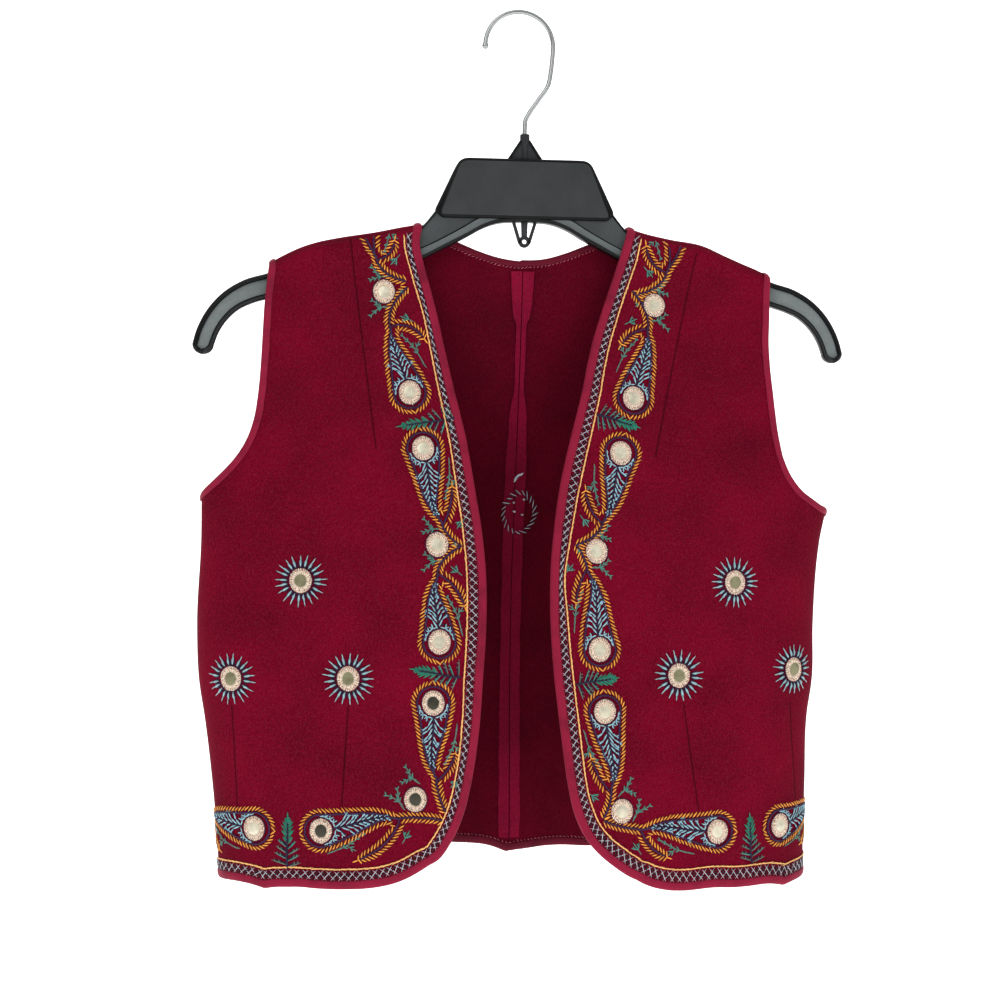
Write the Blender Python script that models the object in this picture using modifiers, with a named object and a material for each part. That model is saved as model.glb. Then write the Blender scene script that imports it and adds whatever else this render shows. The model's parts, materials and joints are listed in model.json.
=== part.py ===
"""A cropped wool vest with bound edges and sewn-on mirrors, hanging on a plastic hanger.

The origin is where a rail carries the hanger's hook. +X is the wearer's left, -Y is the front and +Z is up.
Sizes are in millimetres, and `MM` turns them into metres. "Right" and "left" are the wearer's.

The cloth is worked out on one body surface. A point of it has two pattern coordinates: `s` runs round the
body, from -1 at the right side seam to +1 at the left one, and `q` is the length of cloth below the
shoulder crest, so a negative `q` lies over the crest, on the other face of the hanger.
"""

import math

import bmesh
import bpy
import numpy as np
from mathutils import Vector

MM = 0.001
FRONT, BACK = -1, 1
RIGHT, LEFT = -1, 1
SIDE_NAMES = {RIGHT: "right", LEFT: "left"}

# ---------------------------------------------------------------- cloth sizes
WALL = 1.6
SEAM_GAP = 0.3
LIE_GAP = 0.3
SHOULDER_RADIUS = 7.2
FORWARD_SEAM = 5.4  # the shoulder seam lies this far in front of the crest
ALLOWANCE_WALL = 1.2

# The plan section at each height: half widths at the two side seams, and how far front and back stand out.
BODY_COLUMNS = ("z", "right_half", "left_half", "front_depth", "back_depth")
BODY_SECTIONS = (
    (-130.0, 210.0, 206.0, 0.0, 0.0),
    (-175.0, 210.0, 206.0, 1.0, 1.5),
    (-220.0, 210.0, 206.0, 9.0, 10.0),
    (-270.0, 209.5, 206.0, 21.0, 22.0),
    (-318.0, 208.6, 205.0, 33.0, 35.0),
    (-345.0, 208.7, 199.4, 39.0, 42.0),
    (-400.0, 211.0, 194.8, 46.5, 51.0),
    (-437.0, 209.4, 194.2, 50.0, 55.0),
    (-460.0, 205.8, 190.8, 51.5, 57.0),
    (-505.0, 200.3, 189.4, 53.0, 59.0),
    (-566.0, 195.6, 188.0, 54.5, 60.0),
)
SECTION_POWER = 2.3
SHOULDER_POWER = 8.0

# Height of the shoulder crest, the outside of the cloth, against the distance from the middle.
CREST_COLUMNS = ("x", "right_z", "left_z")
CREST = (
    (66.0, -138.6, -137.8),
    (80.0, -141.2, -142.0),
    (97.0, -144.9, -145.6),
    (120.0, -148.9, -149.6),
    (134.0, -151.9, -155.6),
    (146.0, -155.8, -160.6),
    (158.0, -161.7, -165.4),
    (168.0, -167.2, -170.4),
)

# Cut edge of the fronts, from the shoulder seam to the middle of the round corner.
NECK_POINT = {RIGHT: -69.3, LEFT: 69.3}
FRONT_EDGE_COLUMNS = ("z", "right_x", "left_x")
FRONT_EDGE = (
    (-150.0, -70.9, 66.8),
    (-170.0, -67.4, 60.5),
    (-190.0, -62.0, 53.4),
    (-220.0, -55.7, 43.5),
    (-250.0, -49.3, 36.4),
    (-280.0, -42.6, 27.8),
    (-310.0, -38.0, 20.1),
    (-340.0, -33.7, 15.0),
    (-370.0, -31.4, 12.2),
    (-400.0, -31.7, 12.2),
    (-430.0, -33.8, 14.0),
    (-460.0, -36.0, 18.3),
    (-490.0, -40.1, 25.2),
    (-512.0, -44.8, 31.7),
    (-529.0, -51.2, 39.3),
    (-545.0, -63.0, 50.8),
)
# Cut edge of the front hems, from the middle of the round corner towards the side seam.
FRONT_HEM = {
    RIGHT: (
        (-63.0, -545.0),
        (-74.0, -552.8),
        (-88.0, -558.4),
        (-105.0, -561.4),
        (-130.0, -562.4),
        (-165.0, -562.2),
    ),
    LEFT: (
        (50.8, -545.0),
        (61.0, -554.0),
        (73.5, -560.3),
        (90.0, -564.4),
        (112.0, -566.0),
        (155.0, -565.4),
    ),
}
HEM_AT_SIDE = {RIGHT: -561.5, LEFT: -564.0}
# Cut edge of the armholes, below the shoulder seam and down to the side seam.
SHOULDER_END = {RIGHT: -165.6, LEFT: 163.6}
ARMHOLE = {
    RIGHT: (
        (-166.6, -176.0),
        (-168.3, -192.0),
        (-169.5, -212.0),
        (-170.6, -232.0),
        (-172.4, -253.0),
        (-175.6, -271.0),
        (-181.0, -285.0),
        (-188.6, -296.0),
        (-197.4, -305.4),
        (-204.6, -312.4),
    ),
    LEFT: (
        (162.9, -177.0),
        (162.2, -193.0),
        (161.0, -210.0),
        (161.2, -228.0),
        (162.6, -247.0),
        (164.2, -266.0),
        (166.6, -283.0),
        (170.4, -297.0),
        (177.6, -309.0),
        (189.6, -318.4),
    ),
}
ARMPIT = {RIGHT: -318.0, LEFT: -326.0}
BACK_ARMHOLE_INSET = 1.0
# Cut edge of the back neck, and of the back hem, each from the middle outwards.
BACK_NECK = ((0.0, -162.2), (15.0, -160.8), (30.0, -156.4), (44.0, -150.8), (58.0, -145.4), (66.5, -141.6))
BACK_HEM = {
    RIGHT: ((0.0, -559.3), (-10.0, -556.4), (-36.0, -553.6), (-110.0, -557.5), (-165.0, -560.5)),
    LEFT: ((0.0, -559.3), (12.0, -558.2), (30.0, -556.6), (60.0, -557.2), (110.0, -560.0), (155.0, -562.6)),
}
# The soft fold that the centre-back seam makes towards the hem.
FOLD_DEPTH = 7.0
FOLD_HALF_WIDTH = 14.0
FOLD_TOP, FOLD_FULL = -400.0, -540.0

# Width of each centre-back seam allowance, as it lies pressed open.
ALLOWANCE_COLUMNS = ("z", "width")
ALLOWANCE = (
    (-168.0, 8.0),
    (-184.0, 6.6),
    (-198.0, 5.0),
    (-203.0, 2.6),
    (-283.0, 2.8),
    (-300.0, 5.6),
    (-360.0, 7.0),
    (-551.0, 7.4),
)

# ---------------------------------------------------------------- grid sizes
FRONT_LEAD = (0.0, 2.4, 5.0, 9.0)
BACK_LEAD = (0.0, 3.2, 6.4, 9.6, 13.0, 18.0)
NECK_LEAD = (0.0, 2.4, 4.8, 7.4, 10.4, 15.0, 23.0)  # along the back neck, from the neck point
CENTRE_LEAD = (0.0, 5.0, 10.0, 16.0, 25.0, 37.0)  # along the back hem, over the fold
FRONT_ROWS = {"armhole": 14, "side": 10}
BACK_ROWS = {"armhole": 13, "side": 9}
FRONT_COLUMNS = 13
BACK_COLUMNS = {"neck": 10, "shoulder": 8}
CURVE_SAMPLES = 12
ARMPIT_BUNCHING, SHOULDER_BUNCHING, HEM_BUNCHING = 0.75, 0.6, 0.85
# The back's rows swing outwards below the neck point, where its edge turns over the shoulder.
NECK_SWING, NECK_SWING_COLUMNS, NECK_SWING_LENGTH = 0.024, 3.2, 4.0

# ---------------------------------------------------------------- bindings
# Half of the bias strip's section round a cut edge: `out` is away from the cloth, `up` is off its middle.
BINDING_WALL = 0.5
BINDING_GAP, UNDER_GAP = 0.55, 0.65
OUTER_LEAF, INNER_LEAF = 5.3, 4.3
BINDING_REACH = 1.4

# ---------------------------------------------------------------- mirrors
MIRROR_RADIUS = 9.0
MIRROR_WALL = 1.2
MIRROR_SIDES = 12
MIRROR_COLUMNS = ("x", "z")
MIRRORS = {
    RIGHT: (
        (-93.0, -185.0),
        (-77.5, -251.5),
        (-69.0, -287.5),
        (-61.0, -348.5),
        (-60.5, -409.0),
        (-64.0, -447.0),
        (-74.5, -506.5),
        (-146.5, -371.5),
        (-188.5, -433.0),
        (-117.0, -432.0),
        (-133.0, -527.0),
        (-173.0, -527.0),
    ),
    LEFT: (
        (84.5, -191.5),
        (69.0, -253.0),
        (58.0, -289.0),
        (41.0, -352.0),
        (41.0, -413.5),
        (44.5, -452.5),
        (55.5, -515.5),
        (132.0, -371.5),
        (93.5, -431.0),
        (173.0, -429.5),
        (119.5, -531.0),
        (163.5, -529.5),
    ),
}

# ---------------------------------------------------------------- hanger
# One half of the moulded bar: upper and lower edge, half depth, and the height of the two rims.
BAR_COLUMNS = ("top_x", "top_z", "low_x", "low_z", "half_depth", "top_rim", "low_rim")
BAR = (
    (0.0, -121.0, 0.0, -136.2, 4.4, 3.4, 3.4),
    (19.0, -121.0, 18.5, -137.8, 4.4, 3.4, 4.2),
    (33.0, -121.0, 29.5, -142.0, 4.4, 3.4, 6.0),
    (47.0, -122.0, 38.5, -148.0, 4.4, 3.4, 7.6),
    (54.0, -126.0, 47.0, -154.4, 4.4, 3.4, 8.6),
    (58.4, -131.0, 57.5, -159.2, 4.4, 3.4, 9.0),
    (64.6, -142.0, 67.5, -162.6, 3.7, 3.4, 9.0),
    (80.0, -144.7, 80.0, -165.8, 4.4, 3.4, 8.0),
    (97.0, -148.4, 97.0, -169.4, 4.3, 3.4, 6.0),
    (120.0, -153.2, 120.0, -174.0, 4.2, 3.4, 4.2),
    (134.0, -159.0, 134.0, -177.6, 4.1, 3.4, 3.2),
    (146.0, -164.2, 146.0, -181.4, 4.0, 3.4, 2.6),
    (158.0, -169.4, 157.0, -185.8, 3.9, 3.4, 2.4),
    (168.0, -174.2, 167.0, -189.8, 3.8, 3.4, 2.4),
    (182.5, -177.6, 177.0, -192.4, 3.7, 3.4, 2.4),
    (196.0, -185.6, 186.4, -197.0, 3.6, 3.4, 2.4),
    (207.0, -198.3, 194.8, -205.6, 3.5, 3.4, 2.4),
    (213.4, -211.0, 199.6, -213.8, 3.4, 3.4, 2.4),
    (215.8, -219.5, 202.0, -220.5, 3.4, 3.4, 2.4),
)
WEB_HALF = 1.2
RIM_TOP_HALF = 2.0
RIM_SLOPE = 2.8
TIP_RADIUS = 5.6
PLATE_TOP_HALF, PLATE_LOW_HALF = 42.3, 57.4
PLATE_TOP, PLATE_LOW = -95.5, -134.6
PLATE_CORNER = 6.0
PLATE_HALF_DEPTH = 5.4
SOCKET_RADIUS, SOCKET_TOP = 3.2, -78.6
SOCKET_BORE_RADIUS, SOCKET_BORE_DEPTH = 1.85, 12.0
GUSSET_TOP_HALF, GUSSET_LOW_HALF, GUSSET_TOP, GUSSET_HALF_DEPTH = 2.6, 11.4, -84.0, 2.4
LOOP_HALF, LOOP_LOW, LOOP_END_RADIUS, LOOP_HALF_DEPTH = 9.6, -149.4, 3.4, 1.3
LOOP_HOLE_RADIUS = 1.2
LOOP_BAR_HALF, LOOP_LEG = 1.9, 2.7

WIRE_RADIUS = 1.5
HOOK_RADIUS = 22.5
HOOK_OFFSET = -4.0
HOOK_BALL_RADIUS = 2.2
HOOK_TIP_ANGLE, HOOK_SHOULDER_ANGLE = 184.0, -12.0
HOOK_STEP = 11.0
HOOK_STEM = (
    (17.6, -37.5),
    (15.4, -45.6),
    (8.6, -56.2),
    (2.4, -65.4),
    (0.35, -69.4),
    (0.0, -73.5),
    (0.0, -90.0),
)

COLOURS = {
    "wool": ((0.168, 0.0045, 0.0203, 1.0), 0.92, 0.0),
    "binding": ((0.26, 0.020, 0.048, 1.0), 0.6, 0.0),
    "mirror": ((0.72, 0.70, 0.66, 1.0), 0.12, 1.0),
    "plastic": ((0.028, 0.030, 0.032, 1.0), 0.5, 0.0),
    "wire": ((0.62, 0.62, 0.63, 1.0), 0.28, 1.0),
}


def column(rows, names, name):
    """The values under one heading of a table."""
    return np.array([row[names.index(name)] for row in rows])


def smooth(knots, values, at):
    """Reads a table at any place: a smooth curve through its rows, level past its ends."""
    order = np.argsort(knots)
    knots, values = np.asarray(knots, float)[order], np.asarray(values, float)[order]
    at = np.clip(at, knots[0], knots[-1])
    step = np.diff(knots)
    slope = np.diff(values) / step
    inner = (slope[1:] * step[:-1] + slope[:-1] * step[1:]) / (step[1:] + step[:-1])
    tangent = np.concatenate([slope[:1], inner, slope[-1:]])
    index = np.clip(np.searchsorted(knots, at, side="right") - 1, 0, len(step) - 1)
    t = (at - knots[index]) / step[index]
    rise = values[index + 1] - values[index]
    start, end = tangent[index] * step[index], tangent[index + 1] * step[index]
    return values[index] + t * (start + t * (3 * rise - 2 * start - end + t * (start + end - 2 * rise)))


# ---------------------------------------------------------------- the body surface


def section(name, z):
    return smooth(column(BODY_SECTIONS, BODY_COLUMNS, "z"), column(BODY_SECTIONS, BODY_COLUMNS, name), z)


def half_width(x_sign, z):
    return np.where(x_sign < 0, section("right_half", z), section("left_half", z))


def crest(x):
    """Height of the middle of the cloth where it goes over the shoulder."""
    away = column(CREST, CREST_COLUMNS, "x")
    right = smooth(away, column(CREST, CREST_COLUMNS, "right_z"), np.abs(x))
    left = smooth(away, column(CREST, CREST_COLUMNS, "left_z"), np.abs(x))
    return np.where(x < 0, right, left) - WALL / 2


def roll(q):
    """How far cloth at `q` reaches out from the hanger's plane, and how far it drops, over the shoulder."""
    angle = np.minimum(q / SHOULDER_RADIUS, math.pi / 2)
    below = np.maximum(q - SHOULDER_RADIUS * math.pi / 2, 0.0)
    return SHOULDER_RADIUS * np.sin(angle), SHOULDER_RADIUS * (1 - np.cos(angle)) + below


def fold(x, z):
    """The soft fold at the centre-back seam, inwards."""
    t = np.clip((FOLD_TOP - z) / (FOLD_TOP - FOLD_FULL), 0.0, 1.0)
    return FOLD_DEPTH * t * t * (3 - 2 * t) * np.exp(-((x / FOLD_HALF_WIDTH) ** 2))


def body_point(face, s, q):
    """Middle of the cloth at places of the pattern. An `s` past a side seam goes on round the body."""
    face, s, q = np.broadcast_arrays(face, np.asarray(s, float), np.asarray(q, float))
    u = np.sin(0.5 * math.pi * s)
    reach, drop = roll(q)
    z = -150.0 - q
    for _ in range(5):
        x = u * half_width(u, z)
        z = crest(x) - drop
    round_side = (1 - np.abs(u) ** SECTION_POWER).clip(0) ** (1 / SECTION_POWER)
    round_shoulder = np.sqrt((1 - np.abs(u) ** SHOULDER_POWER).clip(0))
    stands_out = np.where(face == FRONT, section("front_depth", z), section("back_depth", z))
    depth = reach * round_shoulder + stands_out * round_side + SEAM_GAP / 2
    depth = np.where(np.abs(s) > 1, -depth, depth) - np.where(face == BACK, fold(x, z), 0.0)
    return np.stack([x, face * depth, z], axis=-1)


def body_normal(face, s, q):
    """Unit normals of the body surface, pointing off the wearer."""
    ds, dq = 0.002, 0.3
    along = body_point(face, s + ds, q) - body_point(face, s - ds, q)
    down = body_point(face, s, q + dq) - body_point(face, s, q - dq)
    normal = np.asarray(face)[..., None] * np.cross(along, down)
    return normal / np.linalg.norm(normal, axis=-1, keepdims=True)


def pattern_of(x, z):
    """Pattern coordinates of places given by their width and height, below the crest."""
    x, z = np.asarray(x, float), np.asarray(z, float)
    u = np.clip(x / half_width(x, z), -1, 1)
    fall = crest(x) - z
    on_roll = SHOULDER_RADIUS * np.arccos(np.clip(1 - fall / SHOULDER_RADIUS, -1, 1))
    below = fall + SHOULDER_RADIUS * (math.pi / 2 - 1)
    return np.stack([np.arcsin(u) * 2 / math.pi, np.where(fall < SHOULDER_RADIUS, on_roll, below)], axis=-1)


# ---------------------------------------------------------------- edges of the pattern


def through(points):
    """A smooth dense line through pattern points."""
    points = np.asarray(points, float)
    scaled = points * (300.0, 1.0)
    run = np.concatenate([[0.0], np.cumsum(np.linalg.norm(np.diff(scaled, axis=0), axis=1))])
    steps = [np.linspace(a, b, CURVE_SAMPLES, endpoint=False) for a, b in zip(run, run[1:])]
    at = np.concatenate(steps + [run[-1:]])
    return np.stack([smooth(run, points[:, 0], at), smooth(run, points[:, 1], at)], axis=-1)


def lengths(face, line):
    """Length of cloth along a pattern line, up to each of its points."""
    place = body_point(face, line[:, 0], line[:, 1])
    return np.concatenate([[0.0], np.cumsum(np.linalg.norm(np.diff(place, axis=0), axis=1))])


def sample(face, line, stations):
    """Pattern points at the given lengths along a line."""
    run = lengths(face, line)
    return np.stack([np.interp(stations, run, line[:, 0]), np.interp(stations, run, line[:, 1])], axis=-1)


def spread(count, bunching):
    """Shares of a length from 0 to 1, closer together towards its end, where the body turns."""
    even_share = np.linspace(0, 1, count + 1)
    return (1 - bunching) * even_share + bunching * np.sin(0.5 * math.pi * even_share)


def divided(face, line, count, lead=(0.0,), bunching=0.0):
    """Samples a line at the lead lengths, then in steps to its end, which may bunch towards it."""
    rest = lead[-1] + spread(count, bunching)[1:] * (lengths(face, line)[-1] - lead[-1])
    return sample(face, line, np.concatenate([lead, rest]))


def joined(*lines):
    """Lines that follow each other, with the shared points once."""
    return np.concatenate([lines[0]] + [line[1:] for line in lines[1:]])


def seam_end(x, q, face):
    """A pattern point on the shoulder seam."""
    drop = roll(np.asarray(float(q)))[1]
    z = crest(np.asarray(x)) - drop
    return [float(np.arcsin(x / half_width(np.asarray(x), z)) * 2 / math.pi), q]


def armhole_line(side, face):
    inset = BACK_ARMHOLE_INSET if face == BACK else 0.0
    start_q = FORWARD_SEAM + SEAM_GAP / 2 if face == FRONT else -(FORWARD_SEAM - SEAM_GAP / 2)
    points = [seam_end(SHOULDER_END[side], start_q, face)]
    if face == BACK:
        points.append(seam_end(SHOULDER_END[side], 2.0, face))
    rows = np.array(ARMHOLE[side])
    points += list(pattern_of(rows[:, 0] - side * inset, rows[:, 1]))
    points.append([side, pattern_of(side * 300.0, ARMPIT[side])[1]])
    return through(points)


def side_line(side):
    heights = np.linspace(ARMPIT[side], HEM_AT_SIDE[side], 9)
    edge = half_width(side * np.ones(9), heights) * side
    q = pattern_of(edge, heights)[:, 1]
    return np.stack([np.full(9, float(side)), q], axis=-1)


def front_lines(side):
    """The four edges of a front: front edge, armhole and side, shoulder, hem."""
    q_seam = FORWARD_SEAM + SEAM_GAP / 2
    rows = column(FRONT_EDGE, FRONT_EDGE_COLUMNS, f"{SIDE_NAMES[side]}_x")
    edge = list(pattern_of(rows, column(FRONT_EDGE, FRONT_EDGE_COLUMNS, "z")))
    inner = through([seam_end(NECK_POINT[side], q_seam, FRONT)] + edge)
    hem_rows = np.array(FRONT_HEM[side])
    hem = through(list(pattern_of(hem_rows[:, 0], hem_rows[:, 1])) + [side_line(side)[-1]])
    shoulder = np.linspace(inner[0], armhole_line(side, FRONT)[0], 40)
    return inner, armhole_line(side, FRONT), side_line(side), shoulder, hem


def back_lines(side):
    """The five edges of a back: centre seam, armhole, side, neck and shoulder, hem."""
    q_seam = -(FORWARD_SEAM - SEAM_GAP / 2)
    neck_rows = np.array(BACK_NECK) * (side, 1)
    neck_rows[0, 0] = side * SEAM_GAP / 2
    neck = list(pattern_of(neck_rows[:, 0], neck_rows[:, 1]))
    neck.append(seam_end(side * 69.0, 1.6, BACK))
    neck.append(seam_end(NECK_POINT[side], q_seam, BACK))
    neck = through(neck)
    hem_rows = np.array(BACK_HEM[side])
    hem_rows[0, 0] = side * SEAM_GAP / 2
    hem = through(list(pattern_of(hem_rows[:, 0], hem_rows[:, 1])) + [side_line(side)[-1]])
    centre = np.linspace(neck[0], hem[0], 60)
    shoulder = np.linspace(neck[-1], armhole_line(side, BACK)[0], 40)
    return centre, armhole_line(side, BACK), side_line(side), neck, shoulder, hem


def patch(face, inner, outer, top, low):
    """A grid of pattern points between four sampled edges, each edge blended into the next."""

    def share(line):
        run = lengths(face, line)
        return run / run[-1]

    rows = ((share(inner) + share(outer)) / 2)[:, None, None]
    columns = ((share(top) + share(low)) / 2)[None, :, None]
    along = (1 - columns) * inner[:, None] + columns * outer[:, None]
    across = (1 - rows) * top[None] + rows * low[None]
    corners = (1 - rows) * ((1 - columns) * top[0] + columns * top[-1])
    corners = corners + rows * ((1 - columns) * low[0] + columns * low[-1])
    return along + across - corners


def edged(face, grid, first, bunching, lead=()):
    """Spaces each row anew from column `first`, with one column a leaf's width inside the outer edge."""
    spaced = grid.copy()
    for row, line in zip(spaced, grid[:, first:]):
        start, length = sum(lead), lengths(face, line)[-1]
        shares = spread(len(line) - 2 - len(lead), bunching)
        inner = start + shares * (length - start - OUTER_LEAF)
        row[first:] = sample(face, line, np.concatenate([np.zeros(len(lead)), inner, [length]]))
    return spaced


def front_grid(side):
    inner, armhole, seam, shoulder, hem = front_lines(side)
    outer = joined(
        divided(FRONT, armhole, FRONT_ROWS["armhole"], FRONT_LEAD, ARMPIT_BUNCHING),
        divided(FRONT, seam, FRONT_ROWS["side"]),
    )
    inner = divided(FRONT, inner, len(outer) - len(FRONT_LEAD), FRONT_LEAD)
    top = divided(FRONT, shoulder, FRONT_COLUMNS, bunching=SHOULDER_BUNCHING)
    low = divided(FRONT, hem, FRONT_COLUMNS, bunching=HEM_BUNCHING)
    return edged(FRONT, patch(FRONT, inner, outer, top, low), 0, SHOULDER_BUNCHING, lead=(OUTER_LEAF,))


def back_grid(side):
    centre, armhole, seam, neck, shoulder, hem = back_lines(side)
    outer = joined(
        divided(BACK, armhole, BACK_ROWS["armhole"], BACK_LEAD, ARMPIT_BUNCHING),
        divided(BACK, seam, BACK_ROWS["side"]),
    )
    inner = divided(BACK, centre, len(outer) - len(BACK_LEAD), BACK_LEAD)
    top = joined(
        divided(BACK, neck[::-1], BACK_COLUMNS["neck"] + 1 - len(NECK_LEAD), NECK_LEAD)[::-1],
        divided(BACK, shoulder, BACK_COLUMNS["shoulder"], bunching=SHOULDER_BUNCHING),
    )
    low = divided(BACK, hem, len(top) - len(CENTRE_LEAD), CENTRE_LEAD, HEM_BUNCHING)
    grid = patch(BACK, inner, outer, top, low)
    run = lengths(BACK, inner)
    below = (1 - np.exp(-run / NECK_SWING_LENGTH)) * (1 - run / run[-1])
    beside = np.exp(-(((np.arange(len(top)) - BACK_COLUMNS["neck"] + 1.5) / NECK_SWING_COLUMNS) ** 2))
    beside[[0, -1]] = 0.0
    grid[..., 0] += side * NECK_SWING * below[:, None] * beside
    return edged(BACK, grid, BACK_COLUMNS["neck"], SHOULDER_BUNCHING)


# ---------------------------------------------------------------- meshes


def material(name):
    """A Principled material of the named finish."""
    found = bpy.data.materials.get(name)
    if found:
        return found
    made = bpy.data.materials.new(name)
    made.use_nodes = True
    colour, roughness, metallic = COLOURS[name]
    shader = made.node_tree.nodes["Principled BSDF"]
    shader.inputs["Base Color"].default_value = colour
    shader.inputs["Roughness"].default_value = roughness
    shader.inputs["Metallic"].default_value = metallic
    return made


def add_object(name, bm, finish, collection):
    """Makes an object of a bmesh in millimetres, with its faces turned outwards."""
    bmesh.ops.recalc_face_normals(bm, faces=bm.faces[:])
    if bm.calc_volume(signed=True) < 0:
        bmesh.ops.reverse_faces(bm, faces=bm.faces[:])
    bmesh.ops.scale(bm, vec=(MM, MM, MM), verts=bm.verts[:])
    mesh = bpy.data.meshes.new(name)
    bm.to_mesh(mesh)
    bm.free()
    mesh.shade_smooth()
    mesh.set_sharp_from_angle(angle=math.radians(40))
    obj = bpy.data.objects.new(name, mesh)
    obj.data.materials.append(material(finish))
    collection.objects.link(obj)
    return obj


def cloth_wall(name, place, normal, low, high, finish, collection):
    """A wall between two levels off a grid of points: a flat grid, bent to the lower level and extruded."""
    rows, columns = place.shape[0] - 1, place.shape[1] - 1
    bm = bmesh.new()
    bmesh.ops.create_grid(bm, x_segments=columns, y_segments=rows, size=0.5)
    cell = bm.verts.layers.int.new("cell")
    for vert in bm.verts:
        row, col = round((vert.co.y + 0.5) * rows), round((vert.co.x + 0.5) * columns)
        vert[cell] = row * (columns + 1) + col
    raised = bmesh.ops.extrude_face_region(bm, geom=bm.faces[:], use_keep_orig=True)
    upper = {item for item in raised["geom"] if isinstance(item, bmesh.types.BMVert)}
    for vert in bm.verts:
        row, col = divmod(vert[cell], columns + 1)
        level = high if vert in upper else low
        vert.co = Vector(place[row, col] + level * normal[row, col])
    return add_object(name, bm, finish, collection)


def loft(name, rings, finish, collection, closed=False):
    """A solid through rings of points, capped at its two ends or joined into a loop."""
    bm = bmesh.new()
    made = [[bm.verts.new(Vector(point)) for point in ring] for ring in rings]
    pairs = list(zip(made, made[1:])) + ([(made[-1], made[0])] if closed else [])
    for first, second in pairs:
        for k in range(len(first)):
            after = (k + 1) % len(first)
            bm.faces.new((first[k], first[after], second[after], second[k]))
    if not closed:
        bm.faces.new(made[0])
        bm.faces.new(made[-1])
    return add_object(name, bm, finish, collection)


def binding_section():
    """The bias strip folded round a cut edge, as (out, up) points: a U with its bend past the edge."""
    inside, under = WALL / 2 + BINDING_GAP, WALL / 2 + UNDER_GAP
    outside, lowest = inside + BINDING_WALL, under + BINDING_WALL
    return (
        (-OUTER_LEAF / 2, inside),
        (-OUTER_LEAF, inside),
        (-OUTER_LEAF, outside),
        (-OUTER_LEAF / 2, outside),
        (BINDING_GAP, outside),
        (BINDING_REACH, 0.55 * inside),
        (BINDING_REACH, -0.55 * under),
        (BINDING_GAP, -lowest),
        (-INNER_LEAF, -lowest),
        (-INNER_LEAF, -under),
        (BINDING_GAP, -under),
        (BINDING_GAP, inside),
    )


def unit(vectors):
    return vectors / np.linalg.norm(vectors, axis=-1, keepdims=True)


def inwards(face, pattern, out, width, seams):
    """Pattern points on the cloth at a width from its edge, along the seam at each point that is on one."""
    s, q = pattern[:, 0], pattern[:, 1]
    ds, dq = 0.002, 0.3
    per_s = (body_point(face, s + ds, q) - body_point(face, s - ds, q)) / (2 * ds)
    per_q = (body_point(face, s, q + dq) - body_point(face, s, q - dq)) / (2 * dq)
    moved = np.empty_like(pattern)
    for k, (along_s, along_q, away) in enumerate(zip(per_s, per_q, out)):
        step = np.linalg.lstsq(np.stack([along_s, along_q], axis=1), -width * away, rcond=None)[0]
        if seams.get(k) == "shoulder":
            step = np.array([math.copysign(width / np.linalg.norm(along_s), step[0]), 0.0])
        if seams.get(k) == "side":
            step = np.array([0.0, math.copysign(width / np.linalg.norm(along_q), step[1])])
        moved[k] = pattern[k] + step
    return moved


def binding(name, face, pattern, hand, seams, collection, closed=False):
    """Sweeps the bias strip along a cut edge of the pattern.

    `hand` is +1 where the cloth lies to the right of the way the edge runs, seen from outside, and -1 where
    it lies to the left. `seams` names the seam that a point of the edge is on, by the point's number.
    """
    place, normal = body_point(face, *pattern.T), body_normal(face, *pattern.T)
    ahead = unit(np.roll(place, -1, axis=0) - place)
    behind = np.roll(ahead, 1, axis=0)
    if not closed:
        ahead[-1], behind[0] = ahead[-2], ahead[0]
    out = unit(hand * np.cross(unit(ahead + behind), normal))
    leaves = {}
    for width in (OUTER_LEAF, OUTER_LEAF / 2, INNER_LEAF):
        leaf = inwards(face, pattern, out, width, seams)
        leaves[-width] = body_point(face, *leaf.T), body_normal(face, *leaf.T)
    if not closed:
        out[[0, -1]] = unit(place - leaves[-OUTER_LEAF][0])[[0, -1]]
    rings = []
    for k in range(len(place)):
        ring = []
        for away, up in binding_section():
            if away in leaves:
                ring.append(leaves[away][0][k] + up * leaves[away][1][k])
            else:
                ring.append(place[k] + away * out[k] + up * normal[k])
        rings.append(ring)
    return loft(name, rings, "binding", collection, closed)


def lifted(face, grid):
    """Points and normals of a grid of pattern points."""
    return body_point(face, grid[..., 0], grid[..., 1]), body_normal(face, grid[..., 0], grid[..., 1])


def build_panels(collection):
    """The four panels. Returns each one's grid of pattern points, for what is sewn on its edges."""
    grids = {}
    for face, grid_of, label in ((FRONT, front_grid, "front"), (BACK, back_grid, "back")):
        for side in (RIGHT, LEFT):
            grids[face, side] = grid_of(side)
            place, normal = lifted(face, grids[face, side])
            cloth_wall(f"{label}_{SIDE_NAMES[side]}", place, normal, -WALL / 2, WALL / 2, "wool", collection)
    return grids


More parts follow.
